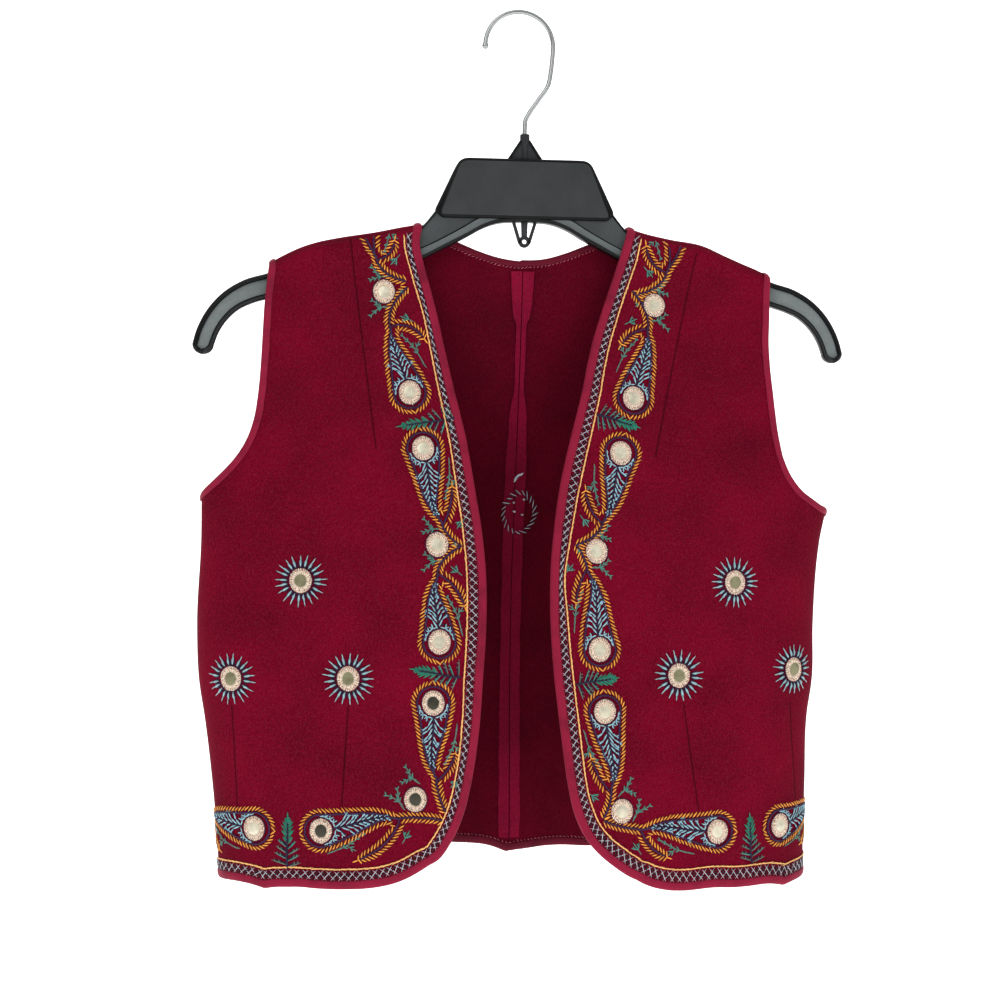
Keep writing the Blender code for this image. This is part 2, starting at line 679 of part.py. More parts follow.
def build_bindings(grids, collection):
    """Bias strips round every cut edge, at the panels' own edge points."""
    front_end = len(FRONT_LEAD) + FRONT_ROWS["armhole"]
    back_end = len(BACK_LEAD) + BACK_ROWS["armhole"]
    for side in (RIGHT, LEFT):
        front, back = grids[FRONT, side], grids[BACK, side]
        edge = np.concatenate([front[:, 0], front[-1, 1:]])
        name = SIDE_NAMES[side]
        face = np.full(len(edge), FRONT)
        seams = {0: "shoulder", len(edge) - 1: "side"}
        binding(f"front_binding_{name}", face, edge, side, seams, collection)

        back_edge = back[back_end - 2 : 0 : -1, -1]
        edge = np.concatenate([front[:front_end, -1], back_edge])
        face = np.concatenate([np.full(front_end, FRONT), np.full(len(back_edge), BACK)])
        binding(f"armhole_binding_{name}", face, edge, -side, {0: "shoulder"}, collection, closed=True)

    right, left = grids[BACK, RIGHT], grids[BACK, LEFT]
    neck = BACK_COLUMNS["neck"]
    neck_edge = [right[0, neck:0:-1], [(right[0, 0] + left[0, 0]) / 2], left[0, 1 : neck + 1]]
    hem_edge = [right[-1, :0:-1], [(right[-1, 0] + left[-1, 0]) / 2], left[-1, 1:]]
    edges = (("neck_binding", neck_edge, 1, "shoulder"), ("hem_binding", hem_edge, -1, "side"))
    for name, parts, hand, seam in edges:
        edge = np.concatenate(parts)
        binding(name, np.full(len(edge), BACK), edge, hand, {0: seam, len(edge) - 1: seam}, collection)


def build_allowances(collection):
    """The two seam allowances, pressed open inside the back."""
    heights = column(ALLOWANCE, ALLOWANCE_COLUMNS, "z")
    fine = np.unique(np.concatenate([heights, np.linspace(heights[0], heights[-1], 18)]))[::-1]
    width = np.interp(-fine, -heights, column(ALLOWANCE, ALLOWANCE_COLUMNS, "width"))
    top = -(WALL / 2 + LIE_GAP)
    for side in (RIGHT, LEFT):
        x = side * np.stack([np.full_like(width, 0.5), (0.5 + width) / 2, width], axis=-1)
        grid = pattern_of(x, np.repeat(fine[:, None], 3, axis=1))
        place, normal = lifted(BACK, grid)
        name = f"back_allowance_{SIDE_NAMES[side]}"
        cloth_wall(name, place, normal, top - ALLOWANCE_WALL, top, "wool", collection)


def mirror_rim(centre, lift):
    """Points of the body surface round a mirror's edge."""
    east = unit(np.cross(lift, (0.0, 0.0, 1.0)))
    north = np.cross(lift, east)
    angle = np.arange(MIRROR_SIDES) * 2 * math.pi / MIRROR_SIDES
    rim = centre + MIRROR_RADIUS * (np.outer(np.cos(angle), east) + np.outer(np.sin(angle), north))
    return pattern_of(rim[:, 0], rim[:, 2])


def build_mirrors(collection):
    """Round mirrors, each bent to the front that it is sewn on."""
    low = WALL / 2 + LIE_GAP
    for side in (RIGHT, LEFT):
        for number, (x, z) in enumerate(MIRRORS[side], 1):
            centre, lift = (found[0] for found in lifted(FRONT, pattern_of(x, z)[None]))
            rim, off = lifted(FRONT, mirror_rim(centre, lift))
            bm = bmesh.new()
            bmesh.ops.create_cone(
                bm, cap_ends=True, cap_tris=True, segments=MIRROR_SIDES, radius1=1, radius2=1, depth=1
            )
            for vert in bm.verts:
                level = low + MIRROR_WALL if vert.co.z > 0 else low
                if vert.co.xy.length < 0.5:
                    vert.co = Vector(centre + level * lift)
                    continue
                turn = math.atan2(vert.co.y, vert.co.x) / (2 * math.pi)
                index = round(turn * MIRROR_SIDES) % MIRROR_SIDES
                vert.co = Vector(rim[index] + level * off[index])
            add_object(f"mirror_{SIDE_NAMES[side]}_{number:02d}", bm, "mirror", collection)


# ---------------------------------------------------------------- hanger


def rod(name, radius, start, end, sides, collection):
    """A cylinder between two points of the hanger's plane, or across it."""
    start, end = Vector(start), Vector(end)
    bm = bmesh.new()
    length = (end - start).length
    bmesh.ops.create_cone(bm, cap_ends=True, segments=sides, radius1=radius, radius2=radius, depth=length)
    turn = Vector((0, 0, 1)).rotation_difference(end - start).to_matrix()
    bmesh.ops.rotate(bm, matrix=turn, verts=bm.verts[:])
    bmesh.ops.translate(bm, vec=(start + end) / 2, verts=bm.verts[:])
    return add_object(name, bm, "plastic", collection)


def slab(name, outline, half_depth, collection, inset=0.0):
    """A flat piece of the hanger: its outline in the XZ plane, as deep as given on both sides."""
    rings = [[(x, y, z) for x, z in outline] for y in (-half_depth, half_depth)]
    made = loft(name, rings, "plastic", collection)
    if inset:
        bevel = made.modifiers.new("Edge", "BEVEL")
        bevel.width = inset * MM
        bevel.segments = 1
        bevel.limit_method = "ANGLE"
        bevel.angle_limit = math.radians(60)
    return made


def round_corners(corners, radius, steps=3):
    """Outline with each corner turned into an arc, drawn as a bend between its two tangent points."""
    rounded = []
    count = len(corners)
    for k, corner in enumerate(corners):
        corner = np.array(corner)
        before = np.array(corners[k - 1]) - corner
        after = np.array(corners[(k + 1) % count]) - corner
        start = corner + before / np.linalg.norm(before) * radius
        end = corner + after / np.linalg.norm(after) * radius
        for t in np.linspace(0, 1, steps + 1):
            rounded.append(tuple((1 - t) ** 2 * start + 2 * t * (1 - t) * corner + t * t * end))
    return rounded


def bar_ring(side, row):
    """The I-shaped section of the bar at one row, with a rounded upper rim."""
    top_x, top_z, low_x, low_z, depth, top_rim, low_rim = row
    top, low = np.array((side * top_x, top_z)), np.array((side * low_x, low_z))
    height = np.linalg.norm(top - low)
    up = (top - low) / height
    profile = (
        (height, -RIM_TOP_HALF),
        (height, RIM_TOP_HALF),
        (height - RIM_SLOPE, depth),
        (height - top_rim, depth),
        (height - top_rim - 0.6, WEB_HALF),
        (low_rim + 0.6, WEB_HALF),
        (low_rim, depth),
        (0.0, depth),
        (0.0, -depth),
        (low_rim, -depth),
        (low_rim + 0.6, -WEB_HALF),
        (height - top_rim - 0.6, -WEB_HALF),
        (height - top_rim, -depth),
        (height - RIM_SLOPE, -depth),
    )
    return [(*(low + v * up)[:1], y, (low + v * up)[1]) for v, y in profile]


def tip_rings(side):
    """The bar's round end: the web closes, and the section shrinks along a quarter circle."""
    last = np.array(BAR[-1])
    top, low = last[0:2], last[2:4]
    middle, half = (top + low) / 2, (top - low) / 2
    ahead = np.array((half[1], -half[0])) * -1.0
    ahead = ahead / np.linalg.norm(ahead)
    ahead = ahead if ahead[1] < 0 else -ahead
    rings = []
    for angle in (0.0, 35.0, 62.0, 82.0):
        turn = math.radians(angle)
        shrink = math.cos(turn) if angle else 1.0
        centre = middle + ahead * (0.6 + TIP_RADIUS * math.sin(turn))
        new_top, new_low = centre + half * shrink, centre - half * shrink
        height = np.linalg.norm(new_top - new_low)
        rim = height * 0.46
        rings.append((*new_top, *new_low, last[4], rim, rim))
    return [closed_ring(side, row) for row in rings]


def closed_ring(side, row):
    """The bar's section with no recess, on the same count of points as the open one."""
    top_x, top_z, low_x, low_z, depth, _, _ = row
    top, low = np.array((side * top_x, top_z)), np.array((side * low_x, low_z))
    shares = ((1, -0.55), (1, 0.55), (0.86, 1), (0.7, 1.0), (0.55, 0.99), (0.4, 0.99), (0.2, 1.0))
    shares += ((0, 0.8), (0, -0.8), (0.2, -1.0), (0.4, -0.99), (0.55, -0.99), (0.7, -1.0), (0.86, -1))
    return [(*(low + v * (top - low))[:1], w * depth, (low + v * (top - low))[1]) for v, w in shares]


def unite(target, others, operation="UNION"):
    """Joins or cuts with other objects, which then stop being parts."""
    for other in others:
        cut = target.modifiers.new(operation.title(), "BOOLEAN")
        cut.operation = operation
        cut.object = other
        other.hide_render = True
        other.display_type = "WIRE"


def build_hanger(collection, helpers):
    """The moulded hanger: bar, front plate, gusset, socket for the wire and the small lower loop."""
    half = [bar_ring(LEFT, row) for row in BAR[1:]] + tip_rings(LEFT)
    other = [bar_ring(RIGHT, row) for row in BAR[1:]] + tip_rings(RIGHT)
    rings = other[::-1] + [bar_ring(LEFT, BAR[0])] + half
    body = loft("hanger_body", rings, "plastic", collection)

    plate = round_corners(
        (
            (-PLATE_TOP_HALF, PLATE_TOP),
            (PLATE_TOP_HALF, PLATE_TOP),
            (PLATE_LOW_HALF, PLATE_LOW),
            (-PLATE_LOW_HALF, PLATE_LOW),
        ),
        PLATE_CORNER,
    )
    gusset = (
        (-GUSSET_TOP_HALF, GUSSET_TOP),
        (GUSSET_TOP_HALF, GUSSET_TOP),
        (GUSSET_LOW_HALF, PLATE_TOP - 1),
        (-GUSSET_LOW_HALF, PLATE_TOP - 1),
    )
    loop = round_corners(
        ((-LOOP_HALF, PLATE_LOW + 1), (LOOP_HALF, PLATE_LOW + 1), (0.0, LOOP_LOW - 2 * LOOP_END_RADIUS)),
        LOOP_END_RADIUS,
    )
    unite(
        body,
        [
            slab("plate_form", plate, PLATE_HALF_DEPTH, helpers, inset=0.8),
            slab("gusset_form", gusset, GUSSET_HALF_DEPTH, helpers),
            rod("socket_form", SOCKET_RADIUS, (0, 0, SOCKET_TOP), (0, 0, PLATE_TOP - 4), 16, helpers),
            slab("loop_form", loop, LOOP_HALF_DEPTH, helpers),
        ],
    )
    windows = []
    for side in (RIGHT, LEFT):
        top = PLATE_LOW - 2.4
        outer = LOOP_HALF - LOOP_LEG - 1.2
        window = ((side * LOOP_BAR_HALF, top), (side * outer, top), (side * LOOP_BAR_HALF, top - 8.6))
        windows.append(slab(f"window_{SIDE_NAMES[side]}", window, 4.0, helpers))
    bore_end = SOCKET_TOP - SOCKET_BORE_DEPTH
    windows.append(rod("bore", SOCKET_BORE_RADIUS, (0, 0, SOCKET_TOP + 2), (0, 0, bore_end), 12, helpers))
    windows.append(rod("loop_hole", LOOP_HOLE_RADIUS, (0, -4, LOOP_LOW), (0, 4, LOOP_LOW), 10, helpers))
    unite(body, windows, "DIFFERENCE")


def hook_route():
    """The wire's middle line: an arc over the rail, then the bent stem down into the socket."""
    middle_z = -math.sqrt((HOOK_RADIUS - WIRE_RADIUS) ** 2 - HOOK_OFFSET**2)
    angles = np.radians(np.arange(HOOK_TIP_ANGLE, HOOK_SHOULDER_ANGLE - 1, -HOOK_STEP))
    arc = [(HOOK_OFFSET + HOOK_RADIUS * math.cos(a), middle_z + HOOK_RADIUS * math.sin(a)) for a in angles]
    return arc + list(HOOK_STEM)


def build_hook(collection, helpers):
    """The wire hook with its ball end, let into the socket's bore."""
    route = hook_route()
    curve = bpy.data.curves.new("hanger_hook", "CURVE")
    curve.dimensions = "3D"
    curve.bevel_depth = WIRE_RADIUS
    curve.bevel_resolution = 2
    curve.use_fill_caps = True
    spline = curve.splines.new("POLY")
    spline.points.add(len(route) - 1)
    for point, (x, z) in zip(spline.points, route):
        point.co = (x, 0.0, z, 1.0)
    wire = bpy.data.objects.new("wire_line", curve)
    collection.objects.link(wire)
    bpy.context.view_layer.update()
    mesh = bpy.data.meshes.new_from_object(wire.evaluated_get(bpy.context.evaluated_depsgraph_get()))
    bm = bmesh.new()
    bm.from_mesh(mesh)
    bmesh.ops.remove_doubles(bm, verts=bm.verts[:], dist=1e-3)
    bpy.data.objects.remove(wire)
    bpy.data.meshes.remove(mesh)
    hook = add_object("hanger_hook", bm, "wire", collection)
    ball = bmesh.new()
    bmesh.ops.create_uvsphere(ball, u_segments=12, v_segments=8, radius=HOOK_BALL_RADIUS)
    x, z = route[0]
    bmesh.ops.translate(ball, vec=Vector((x, 0, z)), verts=ball.verts[:])
    unite(hook, [add_object("ball_form", ball, "wire", helpers)])


def main():
    for obj in list(bpy.data.objects):
        bpy.data.objects.remove(obj, do_unlink=True)
    parts = bpy.data.collections.new("vest_on_hanger")
    helpers = bpy.data.collections.new("forms_and_cutters")
    for collection in (parts, helpers):
        bpy.context.scene.collection.children.link(collection)
    grids = build_panels(parts)
    build_bindings(grids, parts)
    build_allowances(parts)
    build_mirrors(parts)
    build_hanger(parts, helpers)
    build_hook(parts, helpers)


main()
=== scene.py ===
"""Dresses a cropped wool vest with mirror-work embroidery, hanging on a moulded hanger.

The cloth, its bindings and every stitch are worked out on one body surface, in millimetres. +X is the
wearer's left, -Y is the front and +Z is up; "right" and "left" are the wearer's. A place on the cloth is
given in one of two ways: as pattern coordinates `s` and `q`, which the cut edges use, or as chart
coordinates, the distance round the body from its middle and the height, which the embroidery uses.
"""

from __future__ import annotations

import json
import logging
import math
from collections.abc import Callable
from dataclasses import dataclass, field
from enum import Enum, IntEnum
from functools import partial

import bpy
import numpy as np
from bpy.types import Material, Mesh, Node, NodeSocket, NodeTree, Object
from mathutils import Matrix, Vector

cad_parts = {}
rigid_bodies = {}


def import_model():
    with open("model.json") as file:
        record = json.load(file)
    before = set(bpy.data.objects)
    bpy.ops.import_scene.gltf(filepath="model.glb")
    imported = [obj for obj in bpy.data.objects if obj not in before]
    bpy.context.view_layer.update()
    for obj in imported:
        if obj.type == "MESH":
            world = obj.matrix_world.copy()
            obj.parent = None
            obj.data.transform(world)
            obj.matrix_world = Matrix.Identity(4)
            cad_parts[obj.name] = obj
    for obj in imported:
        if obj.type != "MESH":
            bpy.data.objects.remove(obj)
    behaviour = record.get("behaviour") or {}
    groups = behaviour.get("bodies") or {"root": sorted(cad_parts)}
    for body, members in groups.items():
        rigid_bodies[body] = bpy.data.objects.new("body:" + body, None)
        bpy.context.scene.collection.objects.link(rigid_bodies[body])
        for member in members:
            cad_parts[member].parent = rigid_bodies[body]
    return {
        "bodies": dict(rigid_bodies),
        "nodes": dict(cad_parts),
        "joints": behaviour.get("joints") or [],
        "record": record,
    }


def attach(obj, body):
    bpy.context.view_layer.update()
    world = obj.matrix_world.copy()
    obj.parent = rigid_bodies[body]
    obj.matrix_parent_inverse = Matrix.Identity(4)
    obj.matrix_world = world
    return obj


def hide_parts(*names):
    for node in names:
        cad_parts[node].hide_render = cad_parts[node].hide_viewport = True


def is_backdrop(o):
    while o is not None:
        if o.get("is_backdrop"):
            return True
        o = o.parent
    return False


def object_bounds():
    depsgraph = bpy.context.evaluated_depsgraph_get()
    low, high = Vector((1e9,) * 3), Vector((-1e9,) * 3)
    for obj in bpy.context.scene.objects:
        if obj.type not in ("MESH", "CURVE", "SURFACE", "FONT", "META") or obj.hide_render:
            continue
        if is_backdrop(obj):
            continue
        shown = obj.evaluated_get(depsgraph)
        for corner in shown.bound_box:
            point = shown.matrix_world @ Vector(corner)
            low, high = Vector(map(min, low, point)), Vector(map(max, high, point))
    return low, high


LOG = logging.getLogger("vest")
MM = 0.001
Array = np.ndarray
Place = tuple[float, float]
AddNode = Callable[..., Node]


class Side(IntEnum):
    """A half of the garment, by the sign of its X."""

    RIGHT = -1
    LEFT = 1

    @property
    def index(self) -> int:
        """Where the side's value is in a pair."""
        return 0 if self is Side.RIGHT else 1

    @property
    def label(self) -> str:
        """The side's name in lower case."""
        return self.name.lower()


class Face(IntEnum):
    """The front or the back of the garment, by the sign of its Y."""

    FRONT = -1
    BACK = 1


class Seam(Enum):
    """The seam that an end of a binding lies on."""

    SHOULDER = "shoulder"
    SIDE = "side"


# ---- small helpers


def srgb(code: str) -> tuple[float, float, float, float]:
    """Turns a hex colour into linear RGBA.

    Args:
        code: the colour as "#RRGGBB".

    Returns:
        The linear colour with an alpha of one.
    """
    parts = [int(code[k : k + 2], 16) / 255 for k in (1, 3, 5)]
    red, green, blue = (p / 12.92 if p <= 0.04045 else ((p + 0.055) / 1.055) ** 2.4 for p in parts)
    return red, green, blue, 1.0


def unit(vectors: Array) -> Array:
    """Vectors at length one."""
    return vectors / np.maximum(np.linalg.norm(vectors, axis=-1, keepdims=True), 1e-9)


def smooth(knots: Array, values: Array, at: Array) -> Array:
    """Reads a table at any place along a smooth curve through its rows, level past its ends.

    Args:
        knots: where the rows are, in any order.
        values: the rows' values, each a number or an array.
        at: where to read.

    Returns:
        The values read.
    """
    order = np.argsort(knots)
    knots, values = np.asarray(knots, float)[order], np.asarray(values, float)[order]
    at = np.clip(at, knots[0], knots[-1])
    tail = (1,) * (values.ndim - 1)
    step = np.diff(knots).reshape(-1, *tail)
    slope = np.diff(values, axis=0) / step
    inner = (slope[1:] * step[:-1] + slope[:-1] * step[1:]) / (step[1:] + step[:-1])
    tangent = np.concatenate([slope[:1], inner, slope[-1:]])
    index = np.clip(np.searchsorted(knots, at, side="right") - 1, 0, len(step) - 1)
    share = ((at - knots[index]).reshape(at.shape + tail)) / step[index]
    rise = values[index + 1] - values[index]
    start, end = tangent[index] * step[index], tangent[index + 1] * step[index]
    bend = 3 * rise - 2 * start - end + share * (start + end - 2 * rise)
    return values[index] + share * (start + share * bend)


def curve(points: list[Place] | Array, step: float = 0.8) -> Array:
    """A smooth line through a few places.

    Args:
        points: the places, two or more.
        step: distance between the points of the line, in millimetres.

    Returns:
        The line's points.
    """
    points = np.asarray(points, float)
    run = length_along(points)
    return smooth(run, points, np.linspace(0, run[-1], max(3, int(run[-1] / step) + 1)))


def bend(start: Array, control: Array, end: Array, count: int) -> Array:
    """Points of a line that leaves `start` towards `control` and comes from there to `end`."""
    t = np.linspace(0, 1, count)[:, None]
    return (1 - t) ** 2 * start + 2 * t * (1 - t) * control + t * t * end


def wander(length: Array, seed: int, scale: float) -> Array:
    """An uneven wave along a length, from about -1 to 1, the same for the same seed.

    Args:
        length: distances along the line.
        seed: sets the wave.
        scale: its size, in millimetres.

    Returns:
        The wave at each distance.
    """
    phases = np.random.default_rng(seed).uniform(0, 2 * math.pi, 4)
    waves = [np.sin(length / scale * (1.0 + 1.37 * k) * 2 * math.pi / 1.9 + p) / (k + 1) for k, p in enumerate(phases)]
    return sum(waves) / 1.7


def length_along(points: Array) -> Array:
    """Length of a line up to each of its points, or of each column of a grid."""
    steps = np.linalg.norm(np.diff(points, axis=0), axis=-1)
    return np.concatenate([np.zeros((1, *steps.shape[1:])), np.cumsum(steps, axis=0)])


def left_of(ahead: Array) -> Array:
    """Vectors in a plane, turned a quarter to the left."""
    return np.stack([-ahead[..., 1], ahead[..., 0]], axis=-1)


def on_circle(angle: Array) -> Array:
    """Unit vectors in a plane at some angles."""
    return np.stack([np.cos(angle), np.sin(angle)], axis=-1)


def turns(count: int) -> Array:
    """Even angles all round."""
    return np.arange(count) * 2 * math.pi / count


def feed(node: Node, inputs: dict) -> None:
    """Gives a node's inputs their values.

    Args:
        node: the node.
        inputs: by name or number, a value, a socket, or a node whose first output is meant.
    """
    for key, value in inputs.items():
        if isinstance(value, Node):
            value = value.outputs[0]
        if isinstance(value, NodeSocket):
            node.id_data.links.new(value, node.inputs[key])
        else:
            node.inputs[key].default_value = value


def add_node(tree: NodeTree, kind: str, inputs: dict | None = None, **settings: object) -> Node:
    """Adds a node to a tree.

    Args:
        tree: the tree.
        kind: the node's type.
        inputs: what its inputs are given, as in `feed`.
        **settings: its own properties.

    Returns:
        The node.
    """
    node = tree.nodes.new(kind)
    for name, value in settings.items():
        setattr(node, name, value)
    feed(node, inputs or {})
    return node


def give(mesh: Mesh, name: str, values: Array | list, kind: str = "FLOAT", domain: str = "POINT") -> None:
    """Gives a mesh an attribute.

    Args:
        mesh: the mesh.
        name: the attribute's name.
        values: a value for each element.
        kind: the values' type.
        domain: what each value belongs to.
    """
    label = {"FLOAT": "value", "FLOAT_VECTOR": "vector", "FLOAT_COLOR": "color"}[kind]
    mesh.attributes.new(name, kind, domain).data.foreach_set(label, np.ascontiguousarray(values, np.float32).ravel())


def new_object(name: str, mesh: Mesh, finish: Material) -> Object:
    """Makes an object of a mesh, with one finish on it.

    Args:
        name: the object's name.
        mesh: its mesh.
        finish: its finish.

    Returns:
        The object, in the scene.
    """
    obj = bpy.data.objects.new(name, mesh)
    if not mesh.materials:
        mesh.materials.append(finish)
    bpy.context.scene.collection.objects.link(obj)
    return obj


def mesh_of(name: str, points: Array, faces: list | Array, uv: Array | None = None) -> Mesh:
    """Makes a smooth mesh of points in millimetres.

    Args:
        name: the mesh's name.
        points: its vertices.
        faces: the vertex numbers of its faces.
        uv: a place on the cloth for each vertex, in millimetres.

    Returns:
        The mesh, in metres.
    """
    mesh = bpy.data.meshes.new(name)
    mesh.from_pydata((np.asarray(points, float) * MM).tolist(), [], [list(map(int, f)) for f in faces])
    if uv is not None:
        layer = mesh.uv_layers.new(name="cloth")
        corners = np.empty(len(mesh.loops), np.int32)
        mesh.loops.foreach_get("vertex_index", corners)
        layer.data.foreach_set("uv", (np.asarray(uv, float)[corners] * MM).ravel())
    mesh.shade_smooth()
    mesh.validate()
    return mesh


def loft_faces(rings: int, count: int, closed: bool) -> list[list[int]]:
    """Faces through rings of points, with caps unless they close into a loop.

    Args:
        rings: the number of rings.
        count: the points of each.
        closed: whether the last ring joins the first.

    Returns:
        The point numbers of each face.
    """
    faces = []
    for ring in range(rings if closed else rings - 1):
        after = (ring + 1) % rings
        for k in range(count):
            right = (k + 1) % count
            faces.append([ring * count + k, ring * count + right, after * count + right, after * count + k])
    if not closed:
        faces.append(list(range(count))[::-1])
        faces.append([(rings - 1) * count + k for k in range(count)])
    return faces


def faces_out(mesh: Mesh) -> Mesh:
    """Turns a closed mesh's faces outwards if its volume says that they point in.

    Args:
        mesh: the mesh.

    Returns:
        The same mesh.
    """
    mesh.calc_loop_triangles()
    count = len(mesh.loop_triangles)
    corners, points = np.empty(count * 3, np.int32), np.empty(len(mesh.vertices) * 3)
    mesh.loop_triangles.foreach_get("vertices", corners)
    mesh.vertices.foreach_get("co", points)
    tri = points.reshape(-1, 3)[corners.reshape(-1, 3)]
    if np.linalg.det(tri - tri.mean(axis=(0, 1))).sum() < 0:
        mesh.flip_normals()
    return mesh


def wall_mesh(name: str, top: Array, under: Array, uv: Array) -> Mesh:
    """Makes a closed wall of cloth between two grids of points.

    Args:
        name: the mesh's name.
        top: one side's points, in rows and columns.
        under: the other side's.
        uv: chart places, the same for both sides.

    Returns:
        The mesh.
    """
    count = top.shape[0] * top.shape[1]
    number = np.arange(count).reshape(top.shape[:2])
    low = number + count
    quads = [
        np.stack([number[:-1, :-1], number[:-1, 1:], number[1:, 1:], number[1:, :-1]], axis=-1).reshape(-1, 4),
        np.stack([low[:-1, :-1], low[1:, :-1], low[1:, 1:], low[:-1, 1:]], axis=-1).reshape(-1, 4),
    ]
    for edge in (np.s_[0], np.s_[:, -1], np.s_[-1, ::-1], np.s_[::-1, 0]):
        above, below = number[edge], low[edge]
        quads.append(np.stack([above[1:], above[:-1], below[:-1], below[1:]], axis=-1))
    points = np.concatenate([top.reshape(-1, 3), under.reshape(-1, 3)])
    mesh = faces_out(mesh_of(name, points, np.concatenate(quads), np.concatenate([uv, uv])))
    mesh.set_sharp_from_angle(angle=math.radians(55))
    return mesh


# ---- the body surface


@dataclass(frozen=True)
class Crease:
    """A soft trough or ridge in the hung cloth, between two chart places."""

    face: Face
    start: Place
    end: Place
    depth: float
    width: float

    def at(self, across: Array, height: Array) -> Array:
        """How far the crease moves the cloth off the wearer.

        Args:
            across: distance round the body from its middle.
            height: the places' heights.

        Returns:
            The move, in millimetres.
        """
        start, end = np.array(self.start), np.array(self.end)
        line = end - start
        length = float(np.linalg.norm(line))
        away = np.stack([across - start[0], height - start[1]], axis=-1)
        along = (away @ line) / length**2
        off = (away[..., 0] * line[1] - away[..., 1] * line[0]) / length
        fade = np.exp(-((np.clip(np.abs(along - 0.5) - 0.3, 0, None) / 0.22) ** 2))
        return self.depth * fade * np.exp(-((off / self.width) ** 2))


@dataclass(frozen=True)
class BodyForm:
    """The surface that the middle of the hung cloth lies on, with the sizes that form it."""

    wall: float = 1.6
    seam_gap: float = -0.1
    seam_drop: float = 2.7
    shoulder_radius: float = 7.2
    forward_seam: float = 5.4
    section_power: float = 2.3
    shoulder_power: float = 8.0
    fold_depth: float = 7.0
    fold_half_width: float = 14.0
    fold_top: float = -400.0
    fold_full: float = -540.0
    # Height, half widths at the right and left side seams, and how far front and back stand out.
    sections: tuple = (
        (-130, 210, 206, 0, 0), (-175, 210, 206, 1, 1.5), (-220, 210, 206, 9, 10),
        (-270, 209.5, 206, 21, 22), (-318, 208.6, 205, 33, 35), (-345, 208.7, 199.4, 39, 42),
        (-400, 211, 194.8, 46.5, 51), (-437, 209.4, 194.2, 50, 55), (-460, 205.8, 190.8, 51.5, 57),
        (-505, 200.3, 189.4, 53, 59), (-566, 195.6, 188, 54.5, 60),
    )
    # Distance from the middle, and the crest's height on the right and on the left.
    crest_rows: tuple = (
        (66, -138.6, -137.8), (80, -141.2, -142), (97, -144.9, -145.6), (120, -148.9, -149.6),
        (134, -151.9, -155.6), (146, -155.8, -160.6), (158, -161.7, -165.4), (168, -167.2, -170.4),
    )
    creases: tuple[Crease, ...] = ()

    def section(self, column: int, z: Array) -> Array:
        """Reads a column of the plan sections at a height."""
        rows = np.array(self.sections)
        return smooth(rows[:, 0], rows[:, column], np.asarray(z, float))

    def half_width(self, sign: Array, z: Array) -> Array:
        """Half width at the side seam that an X of this sign is on."""
        return np.where(sign < 0, self.section(1, z), self.section(2, z))

    def crest(self, x: Array) -> Array:
        """Height of the middle of the cloth where it goes over the shoulder.

        Args:
            x: distance from the middle, signed.

        Returns:
            The heights.
        """
        rows = np.array(self.crest_rows)
        right, left = (smooth(rows[:, 0], rows[:, column], np.abs(x)) for column in (1, 2))
        return np.where(x < 0, right, left) - self.wall / 2

    def roll(self, q: Array) -> tuple[Array, Array]:
        """How far cloth at `q` reaches out from the hanger's plane, and how far it drops, over the shoulder.

        Args:
            q: length of cloth below the crest.

        Returns:
            The two distances.
        """
        radius = self.shoulder_radius
        angle = np.minimum(q / radius, math.pi / 2)
        below = np.maximum(q - radius * math.pi / 2, 0.0)
        return radius * np.sin(angle), radius * (1 - np.cos(angle)) + below

    def fold(self, x: Array, z: Array) -> Array:
        """The soft fold at the centre-back seam, inwards."""
        t = np.clip((self.fold_top - z) / (self.fold_top - self.fold_full), 0.0, 1.0)
        return self.fold_depth * t * t * (3 - 2 * t) * np.exp(-((x / self.fold_half_width) ** 2))

    def depth(self, face: Array, u: Array, z: Array, reach: Array) -> Array:
        """How far the cloth stands out from the hanger's plane, without creases.

        Args:
            face: front or back at each place.
            u: share of the half width, signed.
            z: the places' heights.
            reach: how far out the shoulder's roll holds the cloth.

        Returns:
            The distances.
        """
        sides = (1 - np.abs(u) ** self.section_power).clip(0) ** (1 / self.section_power)
        shoulder = np.sqrt((1 - np.abs(u) ** self.shoulder_power).clip(0))
        out = np.where(face == Face.FRONT, self.section(3, z), self.section(4, z))
        return reach * shoulder + out * sides + self.seam_gap / 2

    def point(self, face: Array | int, s: Array, q: Array) -> Array:
        """Middle of the cloth at places of the pattern.

        Args:
            face: front or back, for all places or for each.
            s: share of the way from the middle to a side seam, signed.
            q: length of cloth below the crest.

        Returns:
            The points, in millimetres.
        """
        face, s, q = np.broadcast_arrays(face, np.asarray(s, float), np.asarray(q, float))
        u = np.sin(0.5 * math.pi * s)
        reach, drop = self.roll(q)
        z = -150.0 - q
        for _ in range(5):
            x = u * self.half_width(u, z)
            z = self.crest(x) - drop
        depth = self.depth(face, u, z, reach)
        depth = np.where(np.abs(s) > 1, -depth, depth) - np.where(face == Face.BACK, self.fold(x, z), 0.0)
        edge = np.cos(0.5 * math.pi * np.clip(s, -1, 1)) ** 0.5
        for crease in self.creases:
            depth = depth + np.where(face == crease.face, edge * crease.at(x * (1 + 0.06 * u**4), z), 0.0)
        return np.stack([x, face * depth, z], axis=-1)

    def normal(self, face: Array | int, s: Array, q: Array) -> Array:
        """Unit normals of the body surface, pointing off the wearer."""
        along, down = self.slopes(face, s, q)
        return unit(np.broadcast_to(face, np.shape(s))[..., None] * np.cross(along, down))

    def lay(self, face: Array | int, pattern: Array) -> tuple[Array, Array]:
        """Points and unit normals of the body surface at pattern points."""
        s, q = pattern[..., 0], pattern[..., 1]
        return self.point(face, s, q), self.normal(face, s, q)

